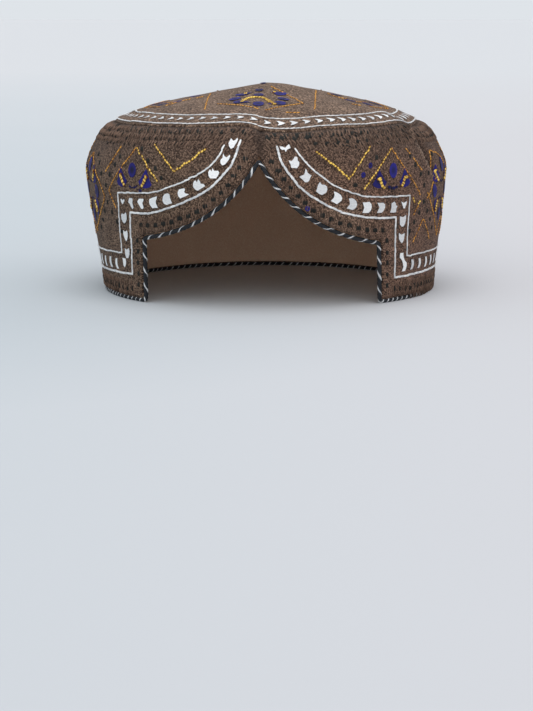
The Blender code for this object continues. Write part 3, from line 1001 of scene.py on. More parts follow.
RIGHT_LEAVES = (
    ((11.7, 78.0), ((-2.6, 1.2), (-1.1, 0.9), (0.0, 0.4), (0.8, 1.6), (1.5, 2.1), (2.1, 1.1),
                    (2.4, 0.2), (1.0, -0.5), (0.4, -1.8), (-0.3, -0.6), (-1.3, -0.8),
                    (-2.1, -0.2))),
    ((16.4, 71.0), ((-2.7, 1.1), (-1.3, 0.8), (-0.5, 1.7), (-0.1, 2.7), (0.7, 2.9), (1.4, 2.3),
                    (1.6, 0.9), (2.4, 0.3), (2.4, -1.2), (1.5, -2.6), (-1.2, -2.3),
                    (-1.6, -0.9), (-2.2, 0.0))),
    ((22.4, 64.5), ((-0.4, 3.7), (0.2, 3.1), (0.7, 1.9), (1.5, 1.2), (2.8, 0.5), (2.1, -0.5),
                    (1.7, -1.8), (0.9, -2.5), (-0.4, -2.5), (-1.5, -1.3), (-3.2, 0.0),
                    (-2.1, 0.5), (-0.9, 1.0), (-0.6, 2.1))),
    ((30.2, 58.8), ((-0.8, 3.2), (0.2, 1.9), (1.5, 1.9), (2.7, 1.0), (2.8, -0.5), (2.2, -1.9),
                    (0.2, -3.0), (-1.4, -2.4), (-2.9, -1.1), (-2.2, 0.4), (-1.8, 1.9))),
    ((37.7, 54.0), ((-1.4, 3.4), (0.3, 2.8), (2.2, 1.5), (2.9, 0.0), (2.5, -1.2), (0.1, -2.9),
                    (-3.1, -1.2), (-1.5, 0.3), (-1.1, 1.6))),
    ((46.0, 50.8), ((-1.8, 2.8), (0.0, 2.9), (1.2, 2.4), (2.4, 1.2), (2.8, -0.4), (2.0, -1.9),
                    (0.3, -2.9), (-3.1, -1.9), (-1.2, 0.0), (-1.4, 1.5))),
    ((54.6, 48.9), ((-2.6, 2.5), (-0.8, 2.4), (1.3, 2.6), (2.5, 1.5), (2.7, 0.0), (2.1, -1.7),
                    (0.8, -2.8), (-2.9, -2.7), (-1.8, -0.1))),
    ((63.5, 48.3), ((-2.6, 2.5), (-0.8, 2.2), (1.2, 2.3), (2.5, 1.4), (2.5, 0.0), (1.6, -1.5),
                    (0.3, -2.6), (-3.0, -2.5), (-2.1, -1.1), (-1.3, 0.0), (-1.8, 1.1))),
    ((72.2, 47.9), ((-1.7, 1.9), (0.4, 2.8), (1.6, 1.8), (1.6, 0.8), (2.9, 0.4), (1.8, -0.8),
                    (1.7, -2.5), (0.0, -2.7), (-3.0, -2.4), (-2.0, -0.9), (-1.7, 0.4))),
    ((80.4, 48.7), ((-2.4, 1.6), (-0.2, 0.8), (2.1, 1.6), (2.0, 0.3), (0.6, -2.0),
                    (-0.6, -1.9), (-1.4, -0.2))),
    ((79.4, 40.4), ((-2.5, 2.6), (0.3, 2.0), (2.7, 3.0), (2.7, 1.0), (2.0, -1.2), (0.8, -2.7),
                    (-0.8, -2.7), (-2.4, -1.5), (-2.5, 0.7))),
    ((78.6, 31.9), ((-2.3, 2.8), (0.0, 1.8), (2.8, 2.4), (2.4, 0.5), (1.9, -1.2), (0.3, -2.6),
                    (-1.3, -1.5), (-2.3, 0.0))),
    ((80.4, 19.6), ((-3.2, 4.8), (-0.3, 4.9), (-0.1, 2.9), (1.0, 1.0), (3.0, -0.5), (3.2, -2.1),
                    (1.8, -4.6), (-1.5, -4.6), (0.0, -2.4), (-0.7, -0.2), (-1.6, 1.2),
                    (-3.5, 2.7))),
)
HEM_LEAF = (             # bent away from the front, on the right side
    (-1.6, 2.6), (0.9, 2.6), (1.9, 1.2), (2.1, -0.2), (1.4, -1.6), (0.1, -2.6), (-2.4, -2.6),
    (-1.3, -1.2), (-0.8, 0.0), (-1.0, 1.2),
)
HEM_PITCH = 8.9
HEM_LEAF_HEIGHT = 17.7
ARROW_OUTLINE = (        # point towards +X
    (-1.8, 2.2), (-0.2, 1.8), (1.1, 0.9), (2.1, 0.0), (1.1, -0.9), (-0.2, -1.8), (-1.8, -2.2),
    (-0.8, 0.0),
)


def leaf(outline):
    """One leaf of satin stitch."""
    return padded_shape(outline, 0.5, 0.12)


leaf_meshes = [repeat(leaf(outline), [(*place, 0.0)], on_band)
               for place, outline in LEFT_LEAVES + RIGHT_LEAVES]
mirrored_leaf = [(-x, y) for x, y in HEM_LEAF]
for way, outline in ((1, HEM_LEAF), (-1, mirrored_leaf)):
    hem = smooth_path(((way * 85.0, HEM_LEAF_HEIGHT), (way * HALF_GIRTH, HEM_LEAF_HEIGHT)))
    hem_places = [(x, y, 0.0) for x, y, turn in walk(hem, HEM_PITCH)]
    leaf_meshes.append(repeat(leaf(outline), hem_places, on_band, jitter=0.12))
print("Border leaves:", len(LEFT_LEAVES) + len(RIGHT_LEAVES), "by hand and", 2 * len(hem_places))

# %% [markdown]
# Round the crown, two thinner lines hold plain arrowheads that all point the same way round. Those
# in front on the left are slimmer than those on the right, so their size follows their place.

# %% Crown ring
RING_OUTER = 76.8
RING_INNER = 67.4
RING_LEAVES = 74
RING_STRETCH = 1.06      # the oval ring is this much longer than a circle of its narrow radius
LEFT_SLIMNESS = ((-45.0, 0.72), (-8.0, 0.8), (2.0, 1.0))     # place across, size of the leaves
BACK_SLIMNESS = 0.85


def ring_path(radius):
    """Once round the crown at one distance from its rim, from the middle of the back."""
    turn = np.linspace(-math.pi, math.pi, 900)
    return np.stack((radius * np.sin(turn), -OVAL * radius * np.cos(turn)), axis=1)


ring_places = np.concatenate([walk(ring_path(RING_OUTER), 2.6), walk(ring_path(RING_INNER), 2.6)])
ring_size = np.tile((0.86, 0.66, 0.8), (len(ring_places), 1))
ring_line_mesh = repeat(white_link, np.hstack([ring_places, ring_size]), on_crown, jitter=0.1)
ring_pitch = 2 * math.pi * (RING_OUTER + RING_INNER) / 2 * RING_STRETCH / RING_LEAVES
ring_leaves = walk(ring_path((RING_OUTER + RING_INNER) / 2), ring_pitch)
slimming = np.interp(ring_leaves[:, 0], *zip(*LEFT_SLIMNESS))
slimming = np.where(ring_leaves[:, 1] < 0, slimming, BACK_SLIMNESS)
ring_sizes = np.stack((0.5 + 0.5 * slimming, slimming, np.ones(len(slimming))), axis=1)
white_mesh = join_meshes("white_leaves", [
    *leaf_meshes,
    repeat(leaf(ARROW_OUTLINE), np.hstack([ring_leaves, ring_sizes]), on_crown, jitter=0.12)])
print("Crown ring stitches:", len(ring_places), "and leaves:", len(ring_leaves))

# %% [markdown]
# The motifs between the border and the crown are diamonds drawn in gold chain stitch, each with a
# flower of navy petals inside. Two half diamonds stand over the front lobes, and eight whole ones
# go round the sides and back; the ones behind can't be seen, so they repeat the side ones. Some runs
# are bright and thick, others thin, dull and partly worn off, so each run is drawn from corner to
# corner and goes into one of two meshes.

# %% Gold lines of the band
DIAMOND_MIDDLE = 53.0
DIAMOND_HALF_WIDTH = 22.5
DIAMOND_HALF_HEIGHT = 24.0
FRONT_DIAMONDS = {"left": -69.4, "right": 72.0}
SIDE_DIAMONDS = {"left": -120.5, "right": 127.0}
REAR_DIAMONDS = 6


def round_middles():
    """Middles of the whole diamonds from the right side round the back to the left side."""
    first = SIDE_DIAMONDS["right"]
    last = SIDE_DIAMONDS["left"] + 2 * HALF_GIRTH
    return np.linspace(first, last, REAR_DIAMONDS + 2)


def diamond_sides(middle):
    """Four sides of a whole diamond."""
    top = (middle, DIAMOND_MIDDLE + DIAMOND_HALF_HEIGHT)
    foot = (middle, DIAMOND_MIDDLE - DIAMOND_HALF_HEIGHT)
    left = (middle - DIAMOND_HALF_WIDTH, DIAMOND_MIDDLE)
    right = (middle + DIAMOND_HALF_WIDTH, DIAMOND_MIDDLE)
    return [(top, left), (left, foot), (top, right), (right, foot)]


STRONG_GOLD = (          # the runs in bright thread
    ((-53.7, 78.6), (-42.4, 66.1)), ((-42.4, 66.1), (-24.6, 76.8)),
    ((26.2, 76.5), (45.1, 63.0)), ((45.1, 63.0), (55.8, 77.5)),
    ((70.5, 76.2), (53.4, 57.5)), ((-66.7, 76.7), (-52.2, 60.7)),
    ((88.1, 52.3), (90.2, 48.1)), ((93.3, 47.9), (96.4, 49.7)),
)
WORN_GOLD = (            # the runs that are thinner, darker and partly worn
    ((-66.7, 76.7), (-84.5, 61.8), (-91.9, 54.6)),
    ((-91.9, 54.6), (-85.0, 46.0)), ((70.5, 76.2), (82.0, 66.0), (96.1, 52.5)),
    ((94.4, 47.3), (89.5, 42.7)), ((82.8, 75.6), (86.5, 72.7)), ((89.2, 70.7), (97.0, 64.5)),
)
CREASED_DIAMOND = (      # the upper sides of the right side diamond, which the fold displaces
    ((104.1, 49.9), (110.1, 54.2), (117.4, 59.3)), ((117.4, 59.3), (113.9, 64.5), (112.2, 73.2)),
    ((112.2, 73.2), (123.3, 71.3), (134.0, 67.2), (149.5, 53.0)),
)
LOW_DIAMOND = (          # half of the left side diamond, from its middle; it is lower than the others
    ((0.0, 71.5), (15.0, 60.6), (22.6, 51.5)), ((22.6, 51.5), (20.6, 48.0), (3.6, 34.4), (0.0, 31.5)),
)
LOW_CHEVRON = (((0.0, 40.0), (-11.0, 28.8)), ((0.0, 40.0), (11.0, 28.8)))     # from a gap's middle
HIGH_CHEVRON = (((-14.5, 76.4), (0.0, 63.6)), ((0.0, 63.6), (14.5, 76.4)))

strong_runs = [smooth_path(points) for points in STRONG_GOLD]
worn_runs = [smooth_path(points) for points in WORN_GOLD]
middles = round_middles()
for middle in middles:
    sides = diamond_sides(middle)
    if middle == middles[0]:
        sides = [*CREASED_DIAMOND, sides[1], sides[3]]
    if middle == middles[-1]:
        sides = [[(middle + way * x, y) for x, y in run] for run in LOW_DIAMOND for way in (-1, 1)]
    worn_runs += [smooth_path(points) for points in sides]
gaps = [(FRONT_DIAMONDS["right"] + middles[0]) / 2 + 1.0]
gaps += list((middles[1:] + middles[:-1]) / 2)
gaps += [(FRONT_DIAMONDS["left"] + SIDE_DIAMONDS["left"]) / 2]
for gap in gaps:
    arms = LOW_CHEVRON + HIGH_CHEVRON
    if gap == gaps[0]:
        arms = LOW_CHEVRON
    if gap == gaps[-1]:
        arms = HIGH_CHEVRON[1:]
    worn_runs += [smooth_path([(gap + x, y) for x, y in arm]) for arm in arms]
gold_link = chain_link(1.95, 0.98, 0.44)
strong_places = np.concatenate([walk(run, 1.6) for run in strong_runs])
worn_places = np.concatenate([walk(run, 1.7) for run in worn_runs])
worn_places[:, 0] = wrapped(worn_places[:, 0])
worn_size = np.tile((0.95, 0.72, 0.8), (len(worn_places), 1))
strong_band_mesh = repeat(gold_link, strong_places, on_band, jitter=0.18)
worn_band_mesh = repeat(gold_link, np.hstack([worn_places, worn_size]), on_band, jitter=0.15)
print("Gold stitches on the band:", len(strong_places), "bright and", len(worn_places), "worn")


# %% [markdown]
# A flower has four oval petals, to the top, bottom and sides, and four tall triangles between
# them, points away from the flower's middle line. Padded satin shapes make them. A short run of fat
# gold chain loops with one more loop at its end crosses each triangle, and a thin navy bow of four
# straight stitches joins the two triangles of each half, on the inner side of the oval.

# %% Navy petals and their gold
def oval_outline(long, wide, count):
    """Points round an oval."""
    turns = [2 * math.pi * i / count for i in range(count)]
    return [(long / 2 * math.cos(turn), wide / 2 * math.sin(turn)) for turn in turns]


TRIANGLE_OUTLINE = (     # a kite with its point towards +X, in mm
    (5.2, 0.0), (2.6, 1.5), (0.2, 2.9), (-1.6, 4.4), (-3.0, 3.4), (-4.2, 0.9), (-4.1, -0.8),
    (-3.0, -3.4), (-1.6, -4.4), (0.2, -2.9), (2.6, -1.5),
)
TRIANGLE_ASIDE = 0.76    # where the triangles stand, as a part of the flower's width
TRIANGLE_UP = 0.66       # and of its height
ROW_OF_FOUR = (-1.5, -0.5, 0.5, 1.5)
oval_petal = padded_shape(oval_outline(6.9, 5.9, 12), 0.45, 0.5)
triangle_petal = padded_shape(TRIANGLE_OUTLINE, 0.4, 0.3)
bow_stitch = straight_stitch(1.9, 0.9, 0.3)


def flower(x, y, width, height, halves=(1, -1), bow=1.0):
    """Places of a flower's ovals, triangles, gold loops and bow stitches.

    halves: 1 for the upper half, -1 for the lower; bow: how wide the bow's stitches are and how far
    the gold lies in towards the flower's middle.
    """
    ovals, triangles, golds, bows = [], [], [], []
    for half in halves:
        ovals.append((x, y + half * height, UPRIGHT, 1.0, 1.0, 1.0))
        for side in (-1, 1):
            at_x, at_y = x + side * width * TRIANGLE_ASIDE, y + half * height * TRIANGLE_UP
            lean = UPRIGHT - side * 0.12
            triangles.append((at_x, at_y, half * lean, 1.0, 1.0, 1.0))
            slope = side * half * 1.0
            for k in ROW_OF_FOUR:
                golds.append((at_x - side * 0.7 * bow + 1.5 * k * math.cos(slope),
                              at_y - half * 0.8 * bow + 1.5 * k * math.sin(slope), slope,
                              1.05, 2.2 - 0.2 * abs(k), 2.0))
            golds.append((at_x + side * 0.7, at_y + half * 1.6 / bow, slope - side * 1.4,
                          1.3, 1.6, 2.2))
        for k in ROW_OF_FOUR:
            bows.append((x + 1.7 * k, y + half * (height * 0.32 + 0.28 * k * k), 0.33 * half * k,
                         1.0, bow, 1.0))
    if len(halves) == 2:
        for side in (-1, 1):
            ovals.append((x + side * width, y, UPRIGHT, 1.0, 0.95, 1.0))
    return ovals, triangles, golds, bows


def flowers(rows):
    """All petals, loops and bows of several flowers."""
    groups = ([], [], [], [])
    for row in rows:
        for group, part in zip(groups, flower(*row)):
            group += part
    return groups


# %% Petals of the band and the crown
FLOWER_REACH = (12.0, 12.5)
RIGHT_FRONT_BOW = 1.9    # the right front flower's bow is broad
CROWN_PETALS = (         # ovals of the crown's front flower: place, turn, length
    (-2.0, -55.0, 1.57, 1.3), (-2.8, -34.7, 1.57, 0.9), (-14.2, -41.4, 0.9, 1.1),
    (10.2, -43.6, -0.8, 1.1), (-1.4, -4.5, 0.0, 0.5), (-2.7, -22.9, 0.0, 0.6),
)
CROWN_KITES = ((-10.4, -50.0, -0.5), (7.4, -53.0, 3.6), (-10.5, -30.5, 0.6), (7.4, -31.5, 2.5))
CROWN_ARCHES = (         # gold arch over the front oval, and its two knots
    ((-10.6, -50.5), (-7.6, -42.5), (-4.0, -40.2), (0.0, -42.2), (2.4, -47.5), (6.4, -55.4)),
    ((2.6, -48.6), (6.2, -55.8)), ((-9.6, -30.6), (-9.2, -28.0)), ((4.2, -30.4), (5.4, -28.4)),
)
SIDE_FLOWER = (          # ovals of the flowers to the left and right of the crown's middle
    (56.0, -8.0, 0.1, 1.0), (36.0, -10.0, 0.0, 0.8), (43.5, -23.5, -0.5, 1.0),
    (44.5, 4.5, 1.2, 1.0), (52.0, -19.0, -0.9, 1.0), (52.0, 1.5, 0.9, 1.0),
)
SIDE_WORN = (            # the worn gold round them
    ((31.5, -9.8), (35.7, -17.7), (42.0, -20.0)), ((43.5, -34.7), (48.5, -34.4)),
    ((46.0, -24.0), (51.0, -14.5)), ((63.0, -10.0), (52.5, -30.0)), ((63.0, -10.0), (51.0, 11.0)),
)
NAVY_SPOTS = (           # single small spots of navy among the dark knots
    (22.9, 49.6), (56.5, 68.7), (52.7, 64.7), (-63.8, 55.6),
)
front_rows = [(FRONT_DIAMONDS["left"], DIAMOND_MIDDLE + 0.2, *FLOWER_REACH, (1,)),
              (FRONT_DIAMONDS["right"], DIAMOND_MIDDLE + 0.2, *FLOWER_REACH, (1,),
               RIGHT_FRONT_BOW)]
side_rows = [(wrapped(middle), DIAMOND_MIDDLE, *FLOWER_REACH) for middle in middles]
band_ovals, band_triangles, band_loops, band_bows = flowers(front_rows + side_rows)
crown_ovals = [(x, y, turn, size, 0.9, 1.0) for x, y, turn, size in CROWN_PETALS]
crown_ovals += [(way * x, y, way * turn, size, 0.8, 0.45) for x, y, turn, size in SIDE_FLOWER
                for way in (-1, 1)]
crown_ovals += [(-x, -y, turn, size, 0.9, 1.0) for x, y, turn, size in CROWN_PETALS[:4]]
crown_kites = [(x, y, turn, 1.0, 0.8, 1.0) for x, y, turn in CROWN_KITES]
crown_kites += [(-x, -y, turn + math.pi, 1.0, 0.8, 1.0) for x, y, turn in CROWN_KITES]
crown_arches = [smooth_path(points) for points in CROWN_ARCHES]
crown_arches += [-arch for arch in crown_arches]
band_ovals += [(x, y, UPRIGHT, 0.38, 0.42, 0.8) for x, y in NAVY_SPOTS]
petal_mesh = join_meshes("navy_petals", [
    repeat(oval_petal, band_ovals, on_band, jitter=0.1),
    repeat(triangle_petal, band_triangles, on_band, jitter=0.1),
    repeat(bow_stitch, band_bows, on_band, jitter=0.1),
    repeat(oval_petal, crown_ovals, on_crown, jitter=0.1),
    repeat(triangle_petal, crown_kites, on_crown, jitter=0.1)])
print("Petals:", len(band_ovals) + len(crown_ovals), "ovals")

# %% [markdown]
# The crown's gold is read from above: the front flower's diamond, an upright line on each side of
# it, and faint dashes to the left and right. The back repeats the front, turned half round. A fat
# arch of bright loops runs over the front oval.

# %% Gold lines of the crown
CROWN_WORN = (           # the visible runs, as seen from above with the front at -y
    ((-1.5, -64.0), (-22.6, -48.4)), ((1.5, -64.5), (20.0, -50.2)),
    ((20.0, -50.2), (15.9, -40.1), (10.7, -31.6), (3.0, -14.0)),
    ((-50.0, -30.3), (-44.0, -26.6)), ((-42.0, -25.6), (-37.0, -23.0)),
    ((-35.0, -22.3), (-31.0, -20.0)), ((11.6, -66.7), (18.4, -66.1)),
)
CROWN_LINES = (((-28.2, -59.8), (-28.2, -7.0)), ((25.8, -59.8), (25.8, -7.0)))
crown_runs = [smooth_path(points) for points in CROWN_WORN]
crown_runs += [-run for run in crown_runs[:3]]
side_runs = [smooth_path(points) for points in SIDE_WORN]
crown_runs += side_runs + [run * (-1, 1) for run in side_runs[2:]]
line_runs = [smooth_path(points) for points in CROWN_LINES]
line_runs += [-run for run in line_runs]
crown_worn_places = np.concatenate([walk(run, 1.7) for run in crown_runs])
crown_worn_size = np.tile((0.95, 0.8, 0.8), (len(crown_worn_places), 1))
line_places = np.concatenate([walk(run, 1.6) for run in line_runs])
line_size = np.tile((1.0, 0.75, 0.8), (len(line_places), 1))
arch_places = np.concatenate([walk(arch, 1.6) for arch in crown_arches])
arch_size = np.tile((1.15, 2.1, 1.6), (len(arch_places), 1))
gold_mesh = join_meshes("gold_threads", [
    strong_band_mesh,
    repeat(gold_link, np.hstack([arch_places, arch_size]), on_crown, jitter=0.15),
    repeat(gold_link, band_loops, on_band, jitter=0.15)])
worn_gold_mesh = join_meshes("worn_gold_threads", [
    worn_band_mesh,
    repeat(gold_link, np.hstack([line_places, line_size]), on_crown, jitter=0.1),
    repeat(gold_link, np.hstack([crown_worn_places, crown_worn_size]), on_crown, jitter=0.15)])
print("Gold stitches on the crown:", len(line_places) + len(arch_places) + len(crown_worn_places))

# %% [markdown]
# Dark knots fill the grounds: a row inside the margin of the opening, a row of dashes above the
# hem, rows that follow the diamonds' sides, and close rows under the crown. Each is a small bundle
# of three straight stitches in green-black thread, modelled once and repeated.

# %% Dark knots
def knot_bundle(length, width, count):
    """Some straight stitches side by side, drawn together into one knot."""
    bm = bmesh.new()
    for i in range(count):
        offset = (i - (count - 1) / 2) * width * 0.8
        stations = []
        for t, fullness in ((-0.5, 0.3), (-0.2, 0.95), (0.2, 0.95), (0.5, 0.3)):
            place = (t * length * (1 - 0.15 * abs(offset)), offset * (1.15 - abs(t)),
                     0.16 * (1 - (2 * t) ** 4) - 0.12)
            stations.append((place, width / 2 * fullness, width / 3 * fullness))
        sweep(bm, stations, 5, closed=False)
    return stitch_mesh("knot", bm)


knot = knot_bundle(2.8, 0.92, 3)
MARGIN_FOOT = 67.3       # the row beside the opening's upright edge
HEM_KNOTS = 6.3          # height of the row of dashes above the hem
HEM_START = 71.0         # where the rows above the hem begin, beside the border's foot
GAP_REACHES = (3.5, 8.5, 13.0)
SLASH_STOP = 112.0       # the knots under the crown begin where the dark slashes end
FRONT_KNOTS = (          # beside the gold lines over the front lobes
    (-62.5, 76.0), (-58.3, 71.0), (-53.6, 67.0), (-50.0, 62.6), (60.4, 72.5), (56.8, 68.5),
    (52.8, 64.4), (48.6, 60.2),
)
KNOTS_UNDER_CROWN = (    # side, where a row starts and stops, its shift, its height, knot size
    (1, 20.0, 56.0, 0.0, 83.9, 0.85), (1, 20.0, 56.0, 2.7, 80.3, 0.85),
    (-1, 4.0, 76.0, 0.0, 84.3, 0.85),
    (1, 1.0, 24.0, 0.0, 83.4, 1.1), (1, 1.0, 24.0, 2.4, 84.6, 1.1),
)
MARGIN_LOBE = {
    "left": ((-4.4, 74.9), (-7.7, 71.0), (-11.2, 66.1), (-14.5, 60.7), (-18.9, 56.3),
             (-23.0, 52.4), (-28.0, 48.6), (-33.4, 45.7), (-39.2, 43.6), (-45.0, 41.5),
             (-50.1, 40.4), (-55.6, 39.3), (-66.5, 38.6)),
    "right": ((4.6, 73.9), (8.0, 69.0), (11.6, 64.0), (16.5, 58.0), (22.9, 50.9), (29.0, 46.3),
              (35.6, 43.0), (42.4, 40.6), (49.8, 38.8), (57.2, 37.4), (67.0, 36.6)),
}
knot_places = []
for side, way in (("left", -1), ("right", 1)):
    for x, y, turn in walk(smooth_path(MARGIN_LOBE[side]), 5.1):
        knot_places.append((x, y, UPRIGHT, 1.1, 1.15, 1.9))
    foot = smooth_path(((way * MARGIN_FOOT, 34.0), (way * MARGIN_FOOT, 6.0)))
    for x, y, turn in walk(foot, 6.0):
        knot_places.append((x, y, UPRIGHT, 1.1, 0.9, 1.0))
    hem = smooth_path(((way * HEM_START, HEM_KNOTS), (way * HALF_GIRTH, HEM_KNOTS)))
    for x, y, turn in walk(hem, 5.0):
        knot_places.append((x, y, UPRIGHT, 1.2, 0.65, 1.5))
for gap in gaps:
    for way in (-1, 1):
        for reach in GAP_REACHES:
            knot_places.append((gap + way * (reach + 1.2), 59.2 + reach * 0.95, UPRIGHT))
            knot_places.append((gap + way * (reach + 1.2), 47.0 - reach * 0.95, UPRIGHT))
    knot_places.append((gap, 57.0, UPRIGHT))
    knot_places.append((gap, 48.5, UPRIGHT))
for x, y in FRONT_KNOTS:
    knot_places.append((x, y, UPRIGHT))
knot_places = [(wrapped(place[0]), *place[1:]) for place in knot_places]
for way, start, stop, shift, height, size in KNOTS_UNDER_CROWN:
    level = smooth_path(((way * (start + shift), height), (way * stop, height)))
    knot_places += [(x, y, UPRIGHT, size, size, 1.3) for x, y, turn in walk(level, 5.2)]
for height, shift in ((83.9, 0.0), (80.3, 2.7)):
    level = smooth_path(((SLASH_STOP + shift, height), (2 * HALF_GIRTH - SLASH_STOP, height)))
    knot_places += [(wrapped(x), y, UPRIGHT, 0.7, 0.7, 1.0) for x, y, turn in walk(level, 5.2)]
print("Knots:", len(knot_places))

# %% [markdown]
# The shoulder, the margins and the hem are crossed by short brown stitches that stand proud of the
# ground and catch the light. On the shoulder they lean in towards the front seam, on the margins
# they stand upright. Among those on the shoulder lie dark slashes, thinner and more scattered on
# the left. A texture could suggest them, but their shadows are what the eye sees, so they are real
# stitches. A last row lies along the cord at the right of the hem, where the cloth is frayed.

# %% Brown stitches and dark slashes
SHOULDER_ROWS = (84.4, 81.6, 78.8)
MARGIN_SHIFTS = (-2.6, 0.0, 2.6)
SLASH_START = 34.0
FRAY = ((88.0, 1.6), (160.0, 1.6))
SLASHES = {              # side: scatter up and down, slant, length, width, height, pitch
    -1: (0.8, -0.8, 0.75, 0.55, 1.2, 4.2),
    1: (0.5, 0.85, 0.85, 0.65, 1.3, 3.6),
}
hatch = straight_stitch(3.4, 0.7, 0.35)
hatch_places = []
slash_places = []
for way in (-1, 1):
    scatter, slant, length, width, rise, pitch = SLASHES[way]
    for height in SHOULDER_ROWS:
        level = smooth_path(((way * 3.0, height), (way * HALF_GIRTH, height)))
        hatch_places += [(x, y, UPRIGHT + way * 0.7) for x, y, turn in walk(level, 1.9)]
        level = smooth_path(((way * SLASH_START, height), (way * SLASH_STOP, height)))
        slash_places += [(x, y + dice.normal() * scatter, UPRIGHT + slant, length, width, rise)
                         for x, y, turn in walk(level, pitch)]
for side, way in (("left", -1), ("right", 1)):
    for shift in MARGIN_SHIFTS:
        lobe = smooth_path(MARGIN_LOBE[side]) + (-way * shift * 0.3, shift)
        hatch_places += [(x, y, UPRIGHT, 0.85, 1.0, 1.0) for x, y, turn in walk(lobe, 1.7)]
        height = HEM_KNOTS + shift
        hem = smooth_path(((way * HEM_START, height), (way * HALF_GIRTH, height)))
        hatch_places += [(x, y, UPRIGHT, 0.8, 1.0, 1.0) for x, y, turn in walk(hem, 2.1)]
hatch_places += [(x, y, UPRIGHT + 0.5) for x, y, turn in walk(smooth_path(FRAY), 2.3)]
hatch_mesh = repeat(hatch, hatch_places, on_band, jitter=0.15)
knot_mesh = join_meshes("dark_knots", [repeat(knot, knot_places, on_band, jitter=0.18),
                                       repeat(hatch, slash_places, on_band, jitter=0.25)])
print("Brown stitches:", len(hatch_places), "and dark slashes:", len(slash_places))

# %% [markdown]
# The edge cord is twisted from three black strands and one white, and sewn on along the hem and up
# round the opening. It is a sewn-on trim, held all along, so it isn't a free cord. Its route repeats
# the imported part's. The twist is closer on the hem than round the opening and a little uneven, as a
# hand twists it, and comes out at a whole number of turns, so that the cord closes on itself.

# %% The cord's route
CORD_GAP = 0.3
BLACK_RADIUS = 0.56
WHITE_RADIUS = 0.34
HELIX_RADIUS = 0.58
ROUTE_STEP = 0.5
HEM_LAY = 4.0            # length of one turn of the twist, on the hem
SIDE_LAY = 7.2           # on the opening's upright edges
LOBE_LAY = 6.8           # and round the lobes


def cord_route():
    """Middle of the cord as dense places, once round, in metres, with its outward directions."""
    off = CORD_RADIUS + CORD_GAP
    side = OPENING_HALF - off
    halves = []
    for way in (-1, 1):
        along = np.linspace(0.0, side, 500)
        edge = opening_height(way * along)
        slope = (opening_height(way * (along + 0.1)) - edge) / 0.1
        lobe = np.stack((along, edge - off * np.hypot(1, slope)), axis=1)
        corners = np.array(((side, CORD_RADIUS), (HALF_GIRTH, CORD_RADIUS)))
        half = np.concatenate([lobe, corners])
        half[:, 0] *= way
        halves.append(half)
    flat = np.concatenate([halves[0][:0:-1], halves[1]])
    far = np.concatenate([[0.0], np.cumsum(np.hypot(*np.diff(flat, axis=0).T))])
    at = np.linspace(0.0, far[-1], int(far[-1] / ROUTE_STEP), endpoint=False)
    along, up = np.interp(at, far, flat[:, 0]), np.interp(at, far, flat[:, 1])
    return along, up, band_at(along, up, BAND_WALL / 2)


def evened(values, reach):
    """Running average round a closed run of rows, which rounds its corners."""
    total = sum(np.roll(values, shift, axis=0) for shift in range(-reach, reach + 1))
    return total / (2 * reach + 1)


route_along, route_up, route = cord_route()
route = evened(route, 3)
forward = np.roll(route, -1, axis=0) - np.roll(route, 1, axis=0)
forward /= np.linalg.norm(forward, axis=1, keepdims=True)
outward = np.stack((route[:, 0], route[:, 1] / OVAL ** 2, np.zeros(len(route))), axis=1)
outward -= forward * np.sum(outward * forward, axis=1, keepdims=True)
outward /= np.linalg.norm(outward, axis=1, keepdims=True)
sideways = np.cross(forward, outward)
upright = np.abs(route_along) > OPENING_HALF - 2.5
lay = np.where(route_up < 2.0, HEM_LAY, np.where(upright, SIDE_LAY, LOBE_LAY))
lay = evened(lay, 8)
turns = np.cumsum(np.linalg.norm(route - np.roll(route, 1, axis=0), axis=1) / lay)
turns *= round(turns[-1]) / turns[-1]
once_round = 2 * math.pi * np.arange(len(route)) / len(route)
turns += 0.12 * np.sin(29 * once_round + 2.0 * np.sin(7 * once_round))
white_fullness = (1.0 + 0.32 * np.sin(61 * once_round + 3.0 * np.sin(13 * once_round))
                  + 0.26 * np.sin(104 * once_round + 2.0 * np.sin(5 * once_round)))
print("Cord:", round(float(np.linalg.norm(np.diff(route, axis=0), axis=1).sum())), "mm round,",
      round(float(turns[-1])), "twists")


# %% [markdown]
# Each strand is a helix round the route, made as a curve with a round bevel and turned into a mesh.
# The white one is thinner and swells and thins along its way, which the curve's own point radius
# does. Its middle moves in or out with its thickness, so its outer side stays level with the black.

# %% The four strands
def strand_mesh(name, starts, radius, fullness):
    """Twisted strands round the cord's route, as one mesh, thicker and thinner by their fullness."""
    curve = bpy.data.curves.new(name, "CURVE")
    curve.dimensions = "3D"
    curve.bevel_depth = radius * MM
    curve.bevel_resolution = 1
    for start in starts:
        phase = 2 * math.pi * (turns + start)[:, None]
        around = np.cos(phase) * outward - np.sin(phase) * sideways
        places = route + (HELIX_RADIUS + BLACK_RADIUS - radius * fullness)[:, None] * around
        places = places * MM + CAP_MIDDLE
        spline = curve.splines.new("POLY")
        spline.points.add(len(places) - 1)
        spline.points.foreach_set("co", np.hstack([places, np.ones((len(places), 1))]).ravel())
        spline.points.foreach_set("radius", fullness.astype(np.float32))
        spline.use_cyclic_u = True
    holder = bpy.data.objects.new(name, curve)
    mesh = bpy.data.meshes.new_from_object(holder)
    bpy.data.objects.remove(holder)
    bpy.data.curves.remove(curve)
    drawing = mesh.uv_layers[0]
    drawing.name = "pattern"
    flat = np.empty(len(mesh.loops) * 2, dtype=np.float32)
    drawing.data.foreach_get("uv", flat)
    around_and_along = flat.reshape(-1, 2) * (ROUTE_STEP * len(route), 2 * math.pi * radius)
    drawing.data.foreach_set("uv", around_and_along.astype(np.float32).ravel())
    return mesh


